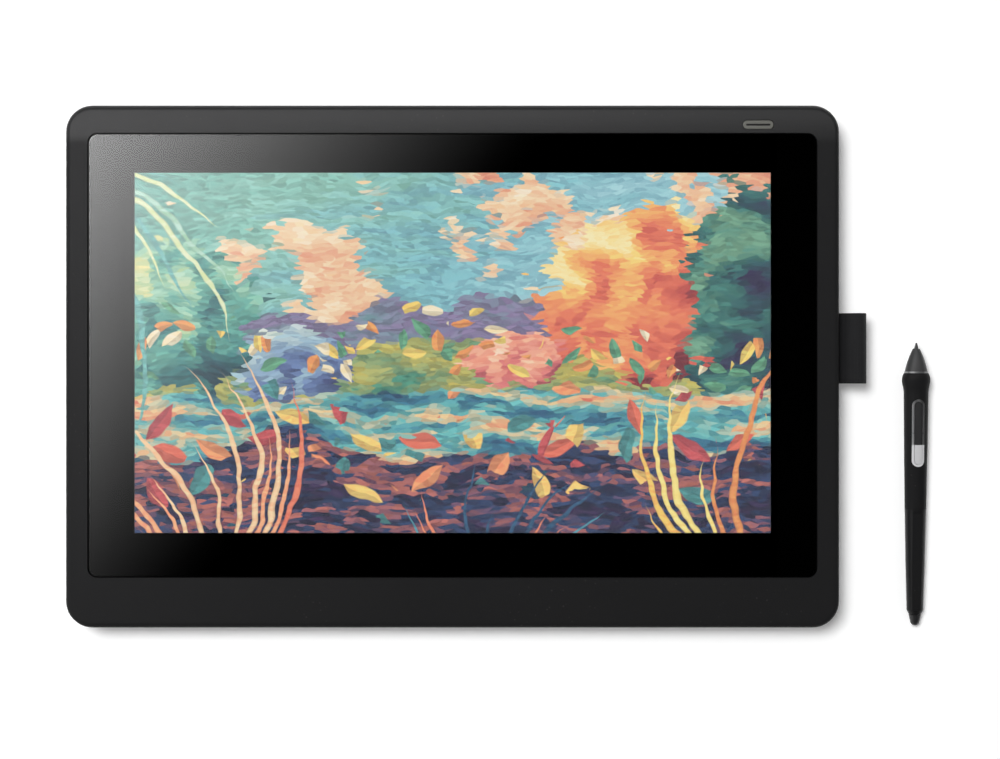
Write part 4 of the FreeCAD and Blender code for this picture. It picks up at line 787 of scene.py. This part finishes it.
def litPicture():
    material, tree, shader = newMaterial("picture", pictureSet["backing"], pictureSet["rough"])
    flat, paint = paintPicture(tree)
    right, up, rise = split(tree, flat)
    tall = pictureSet["half"][1] / pictureSet["half"][0]
    inside = times(tree, calc(tree, "LESS_THAN", calc(tree, "ABSOLUTE", right), 1.0),
                   calc(tree, "LESS_THAN", calc(tree, "ABSOLUTE", up), tall))
    shown = blendColour(tree, inside, (0, 0, 0), paint)
    printed = blendColour(tree, pictureSet["print"], pictureSet["printDark"], shown)
    feed(tree, shader, {"Emission Color": shown, "Emission Strength": pictureSet["strength"],
                        "Base Color": printed, "Specular IOR Level": 0.0})
    return material


glassSet = {
    "refraction": 1.5,
    "rough": (0.015, 0.03),
    "marks": 0.6,
    "corner": 0.005,
    # the edge band painted black, painted shade
    "paintedShadeEdge": (0.0007, 0.0009),      # black up to here, clear from here
}


def coverGlass():
    material, tree, shader = newMaterial("coverGlass", (1.0, 1.0, 1.0))
    touch = addNode(tree, "Group", {"Amount": glassSet["marks"]}, node_tree=handlingGroup)
    # its ground edge is painted black, painted shade that keeps light carried in the glass from
    # showing there; the black goes by how far a spot lies inside the rounded outline
    corner = glassSet["corner"]
    inner = (glassHigh - glassLow) / 2 - Vector((corner,) * 3)
    place = shift(tree, "SUBTRACT", objectPlace(tree), (glassLow + glassHigh) / 2)
    place = shift(tree, "SUBTRACT", shift(tree, "ABSOLUTE", place), (inner.x, inner.y, 0.0))
    right, up, rise = split(tree, place)
    nearest = calc(tree, "MAXIMUM", right, up)
    past = shift(tree, "MULTIPLY", shift(tree, "MAXIMUM", place, (0.0,) * 3), (1.0, 1.0, 0.0))
    reach = calc(tree, "ADD", measure(tree, "LENGTH", past),
                 calc(tree, "MINIMUM", nearest, 0.0))
    clear = spread(tree, minus(tree, corner, reach), *glassSet["paintedShadeEdge"])
    feed(tree, shader, {
        "Base Color": blendColour(tree, clear, (0.0, 0.0, 0.0), (1.0, 1.0, 1.0)),
        "Roughness": spread(tree, touch.outputs["Smudge"], 0.0, 1.0, *glassSet["rough"], False),
        "Transmission Weight": 1.0, "IOR": glassSet["refraction"]})
    return material


def openUp(material):
    # its tree and shader, and a spot on the piece
    tree = material.node_tree
    return tree, tree.nodes["Principled BSDF"], *split(tree, objectPlace(tree))


def repaint(tree, shader, mask, colour):
    # the finish as it was where the mask is 0, the new colour where it is 1
    drawn = shader.inputs["Base Color"].links[0].from_socket
    feed(tree, shader, {"Base Color": blendColour(tree, mask, drawn, colour)})


# the far rim of the case is crowned, so that its outer edge leans back towards the light, and
# shines a little more
rimSet = {
    "start": glassHigh.y,
    "bow": 14.0,
    "polish": (0.1, 0.25),
    "blend": 0.006,
}


def casePlastic():
    material = mouldedPlastic("casePlastic", (0.0125, 0.0125, 0.013), 0.45, 1100, 0.00003, 0.10,
                              0.25, 0.1)
    tree, shader, across, along, rise = openUp(material)
    start = rimSet["start"]
    run = calc(tree, "MAXIMUM", minus(tree, along, start), 0.0)
    drop = times(tree, run, run, -rimSet["bow"] / 2)
    polish = spread(tree, along, start - rimSet["blend"], start, *rimSet["polish"])
    feed(tree, shader, {"Specular IOR Level": polish})
    crown = addNode(tree, "Bump", {"Height": drop, "Distance": 1.0})
    feed(tree, shader.inputs["Normal"].links[0].from_node, {"Normal": crown.outputs["Normal"]})
    return material


penSet = {
    # the nose's paler colour is painted light, for the light that falls on it
    "noseLitColour": (0.045, 0.045, 0.046),
    "noseOver": 0.0005,       # it starts this far behind the nose
}


def penPlastic():
    # one black all along; the nose moulding is painted paler, painted light standing in for the
    # light it catches
    material = mouldedPlastic("penPlastic", (0.0085, 0.0085, 0.009), 0.34, 2200, 0.000006, 0.10,
                              0.35, 0.2)
    tree, shader, across, along, rise = openUp(material)
    low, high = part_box("pen_nose")
    # painted light: the nose gets the paler colour
    repaint(tree, shader, calc(tree, "GREATER_THAN", along, low.y - penSet["noseOver"]),
            penSet["noseLitColour"])
    return material


bezelSet = {
    "paleColour": (0.60, 0.60, 0.61),
    "blend": 0.0004,
}


def bezelMetal():
    # bare metal where it rings the dark end of the side switch, paint where it rings the pale end
    material = drawnMetal("bezelMetal", (0.50, 0.50, 0.51), 0.34, (30.0, 1.0, 1.0))
    tree, shader, across, along, rise = openUp(material)
    low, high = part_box("pen_rocker_pale")
    pale = spread(tree, along, high.y + bezelSet["blend"], high.y - bezelSet["blend"])
    repaint(tree, shader, pale, bezelSet["paleColour"])
    feed(tree, shader, {"Metallic": minus(tree, 1.0, pale)})
    return material


socketSet = {
    "mouth": 0.0066,              # half its width
    "tongue": 0.00045,            # half its thickness
    "rise": 0.0076,               # the tongue's middle above the desk
    "pitch": 0.0009,
    "contact": (0.0005, 0.0042),  # from the tongue's tip inward
    "black": (0.012, 0.012, 0.013),
    "gold": (0.80, 0.55, 0.18),
}


def socketSteel():
    # a drawn steel shell; the tongue in its mouth is black with a row of gold contacts
    material = drawnMetal("socketSteel", (0.52, 0.52, 0.53), 0.28, (1.0, 20.0, 1.0))
    tree, shader, across, along, rise = openUp(material)
    low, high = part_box("cable_socket")
    across = minus(tree, across, (low.x + high.x) / 2)
    inward = minus(tree, high.y, along)
    tongue = times(tree, calc(tree, "LESS_THAN", apart(tree, rise, socketSet["rise"]),
                              socketSet["tongue"]),
                   calc(tree, "LESS_THAN", calc(tree, "ABSOLUTE", across), socketSet["mouth"]))
    lane = calc(tree, "ADD", calc(tree, "DIVIDE", across, socketSet["pitch"]), 0.25)
    lane = calc(tree, "FRACT", lane)
    first, last = socketSet["contact"]
    gold = times(tree, calc(tree, "LESS_THAN", lane, 0.5),
                 times(tree, calc(tree, "GREATER_THAN", inward, first),
                       calc(tree, "LESS_THAN", inward, last)))
    repaint(tree, shader, tongue,
            blendColour(tree, gold, socketSet["black"], socketSet["gold"]))
    dull = times(tree, tongue, minus(tree, 1.0, gold))
    feed(tree, shader, {"Metallic": minus(tree, 1.0, dull)})
    return material


print("pen display: mixing finishes")
finishes = {
    "case_plastic": casePlastic(),
    "cover_glass": coverGlass(),
    "black_film": mouldedPlastic("blackFilm", (0.001, 0.001, 0.001), 0.5, scale=400, bump=0.0,
                                 change=0.2, marks=0.0, specular=0.0),
    "picture": litPicture(),
    "clear_plastic": mouldedPlastic("lightGuide", (0.8, 0.82, 0.84), 0.2, 600, 0.00001, 0.03),
    "sheet_steel": drawnMetal("sheetSteel", (0.55, 0.56, 0.57), 0.34, (30.0, 1.0, 1.0)),
    "chassis_aluminium": drawnMetal("chassisAluminium", (0.62, 0.63, 0.64), 0.38),
    "board_green": mouldedPlastic("boardGreen", (0.012, 0.10, 0.045), 0.32, 300, 0.00002, 0.3),
    "socket_steel": socketSteel(),
    "flat_cable": mouldedPlastic("flatCable", (0.42, 0.20, 0.05), 0.3, 500, 0.00001, 0.2),
    "switch_plastic": mouldedPlastic("switchPlastic", (0.03, 0.03, 0.03), 0.45, 900, 0.00002),
    "key_plastic": mouldedPlastic("keyPlastic", (0.102, 0.102, 0.09), 0.4, 1500, 0.00001, 0.08),
    "light_slit": mouldedPlastic("lightSlit", (0.006, 0.006, 0.006), 0.25, 900, 0.0, 0.2),
    "screw_steel": drawnMetal("screwSteel", (0.40, 0.40, 0.41), 0.3, (1.0, 1.0, 8.0)),
    "rubber": mouldedPlastic("footRubber", (0.018, 0.018, 0.019), 0.75, 700, 0.00006, 0.2, 0.5),
    "nib_plastic": mouldedPlastic("nibPlastic", (0.03, 0.03, 0.031), 0.35, 1500, 0.00001),
    "pen_plastic": penPlastic(),
    "accent_metal": drawnMetal("accentMetal", (0.42, 0.42, 0.43), 0.5),
    "grip_rubber": mouldedPlastic("gripRubber", (0.0105, 0.0105, 0.011), 0.5, 1600, 0.00002,
                                  0.12, 0.35, 0.1),
    "bezel_metal": bezelMetal(),
    "rocker_dark": mouldedPlastic("rockerDark", (0.022, 0.022, 0.023), 0.35, 2200, 0.000006),
    "rocker_pale": mouldedPlastic("rockerPale", (0.52, 0.52, 0.53), 0.38, 2200, 0.000006, 0.05),
    "ferrite": mouldedPlastic("ferrite", (0.05, 0.05, 0.055), 0.6, 1800, 0.00003, 0.3),
    "copper": drawnMetal("copperWire", (0.65, 0.30, 0.13), 0.3, (1.0, 60.0, 1.0), 300, 0.00004),
    "eraser_plastic": mouldedPlastic("eraserPlastic", (0.016, 0.016, 0.017), 0.4, 1600, 0.00001),
    "loop_fabric": mouldedPlastic("loopCore", (0.012, 0.012, 0.013), 0.8, 700),
}
for part in frame["record"]["subparts"]:
    nodes[part["node"]].material_slots[0].material = finishes[part["material_slot"]]


loopSet = {
    "thick": 0.0011,
    "slant": math.radians(19.25),
    "straightSteps": 8,
    "slantSteps": 10,
    "arcSteps": 26,
    "sideSteps": 32,
    "near": 1e-6,             # how close counts as the same place
    "rounding": 0.28,         # of the thickness
    "roundSteps": 2,
    "roundAngle": math.radians(50),
    "smoothAngle": math.radians(45),
}
weaveSet = {
    "rib": 0.00075,
    "threads": 1.6,           # threads across against ribs along
    "shares": (0.5, 0.5),
    "fuzz": (2500.0, 4, 0.7),
    "fuzzShare": 0.6,
    # the weave's colour runs with its relief: painted shade in its low spots, painted light on
    # its raised threads
    "tone": (-0.8, 1.3),
    "colours": ((6, 6, 7), (29, 29, 31)),
    "middle": 0.0193,
    "stripe": (0.0165, 0.0172),
    "stripeShare": 0.5,
    "stripeColour": (20, 20, 21),
    "bump": 0.00012,
    "sheen": (0.08, 0.4),
}


def wovenRibbon():
    material, tree, shader = newMaterial("loopWeave", (0.012, 0.012, 0.013), 0.8)
    along, across, rise = split(tree, addNode(tree, "UVMap", uv_map="weave").outputs["UV"])
    turn = 2 * math.pi / weaveSet["rib"]
    ribs = calc(tree, "SINE", times(tree, along, turn))
    threads = calc(tree, "SINE", times(tree, across, turn * weaveSet["threads"]))
    weave = weigh(tree, times(tree, ribs, threads), ribs, *weaveSet["shares"])
    fuzz = noise(tree, objectPlace(tree), *weaveSet["fuzz"])
    height = calc(tree, "MULTIPLY_ADD", fuzz, weaveSet["fuzzShare"], weave)
    # painted shade and light: darker where the weave lies low, lighter where its threads rise
    tint = blendColour(tree, spread(tree, height, *weaveSet["tone"]),
                       *(srgb(*colour) for colour in weaveSet["colours"]))
    # a firmer stripe is woven along each edge
    stripe = spread(tree, apart(tree, across, weaveSet["middle"]), *weaveSet["stripe"])
    tint = blendColour(tree, times(tree, stripe, weaveSet["stripeShare"]), tint,
                       srgb(*weaveSet["stripeColour"]))
    sheen, sheenRough = weaveSet["sheen"]
    feed(tree, shader, {"Base Color": tint, "Sheen Weight": sheen,
                        "Sheen Roughness": sheenRough})
    addBump(tree, shader, height, weaveSet["bump"])
    return material


def makeRibbon():
    low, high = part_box("pen_loop")
    outer = (high.z - low.z) / 2
    radius = outer - loopSet["thick"] / 2
    centre = Vector((high.x - outer, 0, (high.z + low.z) / 2))
    slant, near = loopSet["slant"], loopSet["near"]
    neckRise = loopSet["thick"] / 2
    topX = centre.x - radius * math.sin(slant)
    topRise = radius * math.cos(slant)
    neckX = topX - (topRise - neckRise) / math.tan(slant)
    straight = neckX - low.x
    sloped = (topRise - neckRise) / math.sin(slant)
    turned = radius * (math.pi + 2 * slant)
    length = 2 * (straight + sloped) + turned

    # the first stretch is a strip in the wall; its outer edge is then drawn out round the eye
    deselectAll()
    bpy.ops.mesh.primitive_grid_add(
        x_subdivisions=loopSet["straightSteps"], y_subdivisions=loopSet["sideSteps"], size=1.0,
        location=((low.x + neckX) / 2, (low.y + high.y) / 2, centre.z + neckRise))
    ribbon = bpy.context.object
    ribbon.name = "loopRibbon"
    ribbon.scale = (straight, high.y - low.y, 1.0)
    placeInMesh(ribbon)

    def draw(move, steps):
        for step in range(steps):
            bpy.ops.mesh.extrude_edges_move(
                TRANSFORM_OT_translate={"value": tuple(c / steps for c in move)})

    bpy.ops.object.mode_set(mode="EDIT")
    selectVerts(ribbon, lambda spot: abs(spot.x - neckX) < near, "EDGE")
    draw((topX - neckX, 0, topRise - neckRise), loopSet["slantSteps"])
    bpy.ops.mesh.spin(steps=loopSet["arcSteps"], angle=-math.pi - 2 * slant,
                      center=(centre.x, 0, centre.z), axis=(0, 1, 0))
    draw((neckX - topX, 0, topRise - neckRise), loopSet["slantSteps"])
    draw((low.x - neckX, 0, 0), loopSet["straightSteps"])
    bpy.ops.mesh.select_all(action="SELECT")
    bpy.ops.mesh.remove_doubles(threshold=near)
    bpy.ops.object.mode_set(mode="OBJECT")

    def pathLength(point):
        x, rise = point.x, point.z - centre.z
        if x <= neckX + near / 10:
            run = x - low.x
        elif x <= topX + near / 10 and abs(rise) <= topRise + near / 10:
            run = straight + (x - neckX) / math.cos(slant)
        else:
            turn = math.atan2(x - centre.x, rise) + slant
            return straight + sloped + turn * radius
        return run if rise > 0 else length - run

    weave = ribbon.data.uv_layers.new(name="weave")
    for loop in ribbon.data.loops:
        point = ribbon.data.vertices[loop.vertex_index].co
        weave.data[loop.index].uv = (pathLength(point), point.y - low.y)
    print("pen loop ribbon:", len(ribbon.data.polygons), "faces,",
          round(length * 1000, 1), "mm long")
    return ribbon, length, (low, high)


def thicken(piece, thick):
    pick(piece)
    reshape(piece, "thickness", "SOLIDIFY", thickness=thick, offset=0.0, use_even_offset=True)
    reshape(piece, "softEdge", "BEVEL", width=thick * loopSet["rounding"],
            segments=loopSet["roundSteps"], limit_method="ANGLE",
            angle_limit=loopSet["roundAngle"])
    bpy.ops.object.shade_smooth_by_angle(angle=loopSet["smoothAngle"])


ribbon, ribbonLength, ribbonBox = makeRibbon()
thicken(ribbon, loopSet["thick"])
ribbon.data.materials.clear()
ribbon.data.materials.append(wovenRibbon())
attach(ribbon, "tablet")
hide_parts("pen_loop")


screwSet = {
    "headTall": 0.0016,
    "shank": 0.00125,
    "point": 0.55,            # the tip's width against the shank's
    "sides": 28,
    "rounding": 0.00035,
    "roundSteps": 3,
    "slotLong": 0.0029,
    "slotWide": 0.00072,
    "slotDeep": 0.0011,
    "slotTaper": 0.62,
    "apart": 0.006,
    "near": 1e-5,             # how close counts as the same height
    "smoothAngle": math.radians(35),
    "turns": (0.7, 1.1),      # of the second screw, and of each one after it
}


def screwPlaces(node):
    # every screw of the node as its lowest and highest corner
    groups = []
    for vert in nodes[node].data.vertices:
        for group in groups:
            if (vert.co.xy - group[0].xy).length < screwSet["apart"]:
                group.append(vert.co.copy())
                break
        else:
            groups.append([vert.co.copy()])
    return [[Vector([best(spot[axis] for spot in group) for axis in range(3)])
             for best in (min, max)] for group in groups]


def cutSlot(screw, place, turned):
    deselectAll()
    bpy.ops.mesh.primitive_cube_add(size=1.0, location=place)
    cutter = bpy.context.object
    cutter.scale = (screwSet["slotLong"], screwSet["slotWide"], screwSet["slotDeep"] * 2)
    cutter.rotation_euler = (0, 0, turned)
    placeInMesh(cutter)
    bpy.ops.object.mode_set(mode="EDIT")
    selectVerts(cutter, lambda spot: spot.z > place.z)
    bpy.ops.transform.resize(value=(screwSet["slotTaper"], screwSet["slotTaper"], 1.0),
                             center_override=place)
    bpy.ops.object.mode_set(mode="OBJECT")
    reshape(screw, "slot", "BOOLEAN", operation="DIFFERENCE", solver="EXACT", object=cutter)
    bpy.data.objects.remove(cutter)


def shapeScrew(low, high):
    # it stands on its head, its point up
    radius = (high.x - low.x) / 2
    middle = (low + high) / 2
    headTop = low.z + screwSet["headTall"]
    deselectAll()
    bpy.ops.mesh.primitive_cylinder_add(
        vertices=screwSet["sides"], radius=radius, depth=screwSet["headTall"],
        location=(middle.x, middle.y, low.z + screwSet["headTall"] / 2))
    screw = bpy.context.object
    placeInMesh(screw)
    bpy.ops.object.mode_set(mode="EDIT")
    selectVerts(screw, lambda spot: spot.z > headTop - screwSet["near"], "FACE")
    bpy.ops.mesh.inset(thickness=radius - screwSet["shank"])
    taper = screwSet["shank"]
    for rise, size in ((high.z - headTop - taper, 1.0), (taper, screwSet["point"])):
        bpy.ops.mesh.extrude_region_move(TRANSFORM_OT_translate={"value": (0, 0, rise)})
        bpy.ops.transform.resize(value=(size, size, 1.0),
                                 center_override=(middle.x, middle.y, high.z))
    selectVerts(screw, lambda spot: spot.z < low.z + screwSet["near"], "EDGE")
    bpy.ops.mesh.bevel(offset=screwSet["rounding"], segments=screwSet["roundSteps"],
                       affect="EDGES")
    bpy.ops.object.mode_set(mode="OBJECT")
    for turned in (0.0, math.pi / 2):
        cutSlot(screw, Vector((middle.x, middle.y, low.z)), turned)
    pick(screw)
    bpy.ops.object.shade_smooth_by_angle(angle=screwSet["smoothAngle"])
    return screw


def makeScrews(name, node, slot):
    (low, high), *others = screwPlaces(node)
    screw = shapeScrew(low, high)
    screw.name = name
    copies = [screw]
    first, step = screwSet["turns"]
    for index, (otherLow, otherHigh) in enumerate(others):
        copy = screw.copy()
        copy.data = screw.data.copy()
        scene.collection.objects.link(copy)
        copy.matrix_world = (Matrix.Translation((otherLow + otherHigh) / 2)
                             @ Matrix.Rotation(first + step * index, 4, "Z")
                             @ Matrix.Translation(-(low + high) / 2))
        placeInMesh(copy)
        copies.append(copy)
    pick(*copies)
    bpy.ops.object.join()
    screw.data.materials.clear()
    screw.data.materials.append(finishes[slot])
    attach(screw, "tablet")
    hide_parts(node)


makeScrews("caseScrews", "case_screws", "screw_steel")
makeScrews("boardScrews", "board_screws", "screw_steel")
print("pen display: screws cut")

print("pen display: finished")
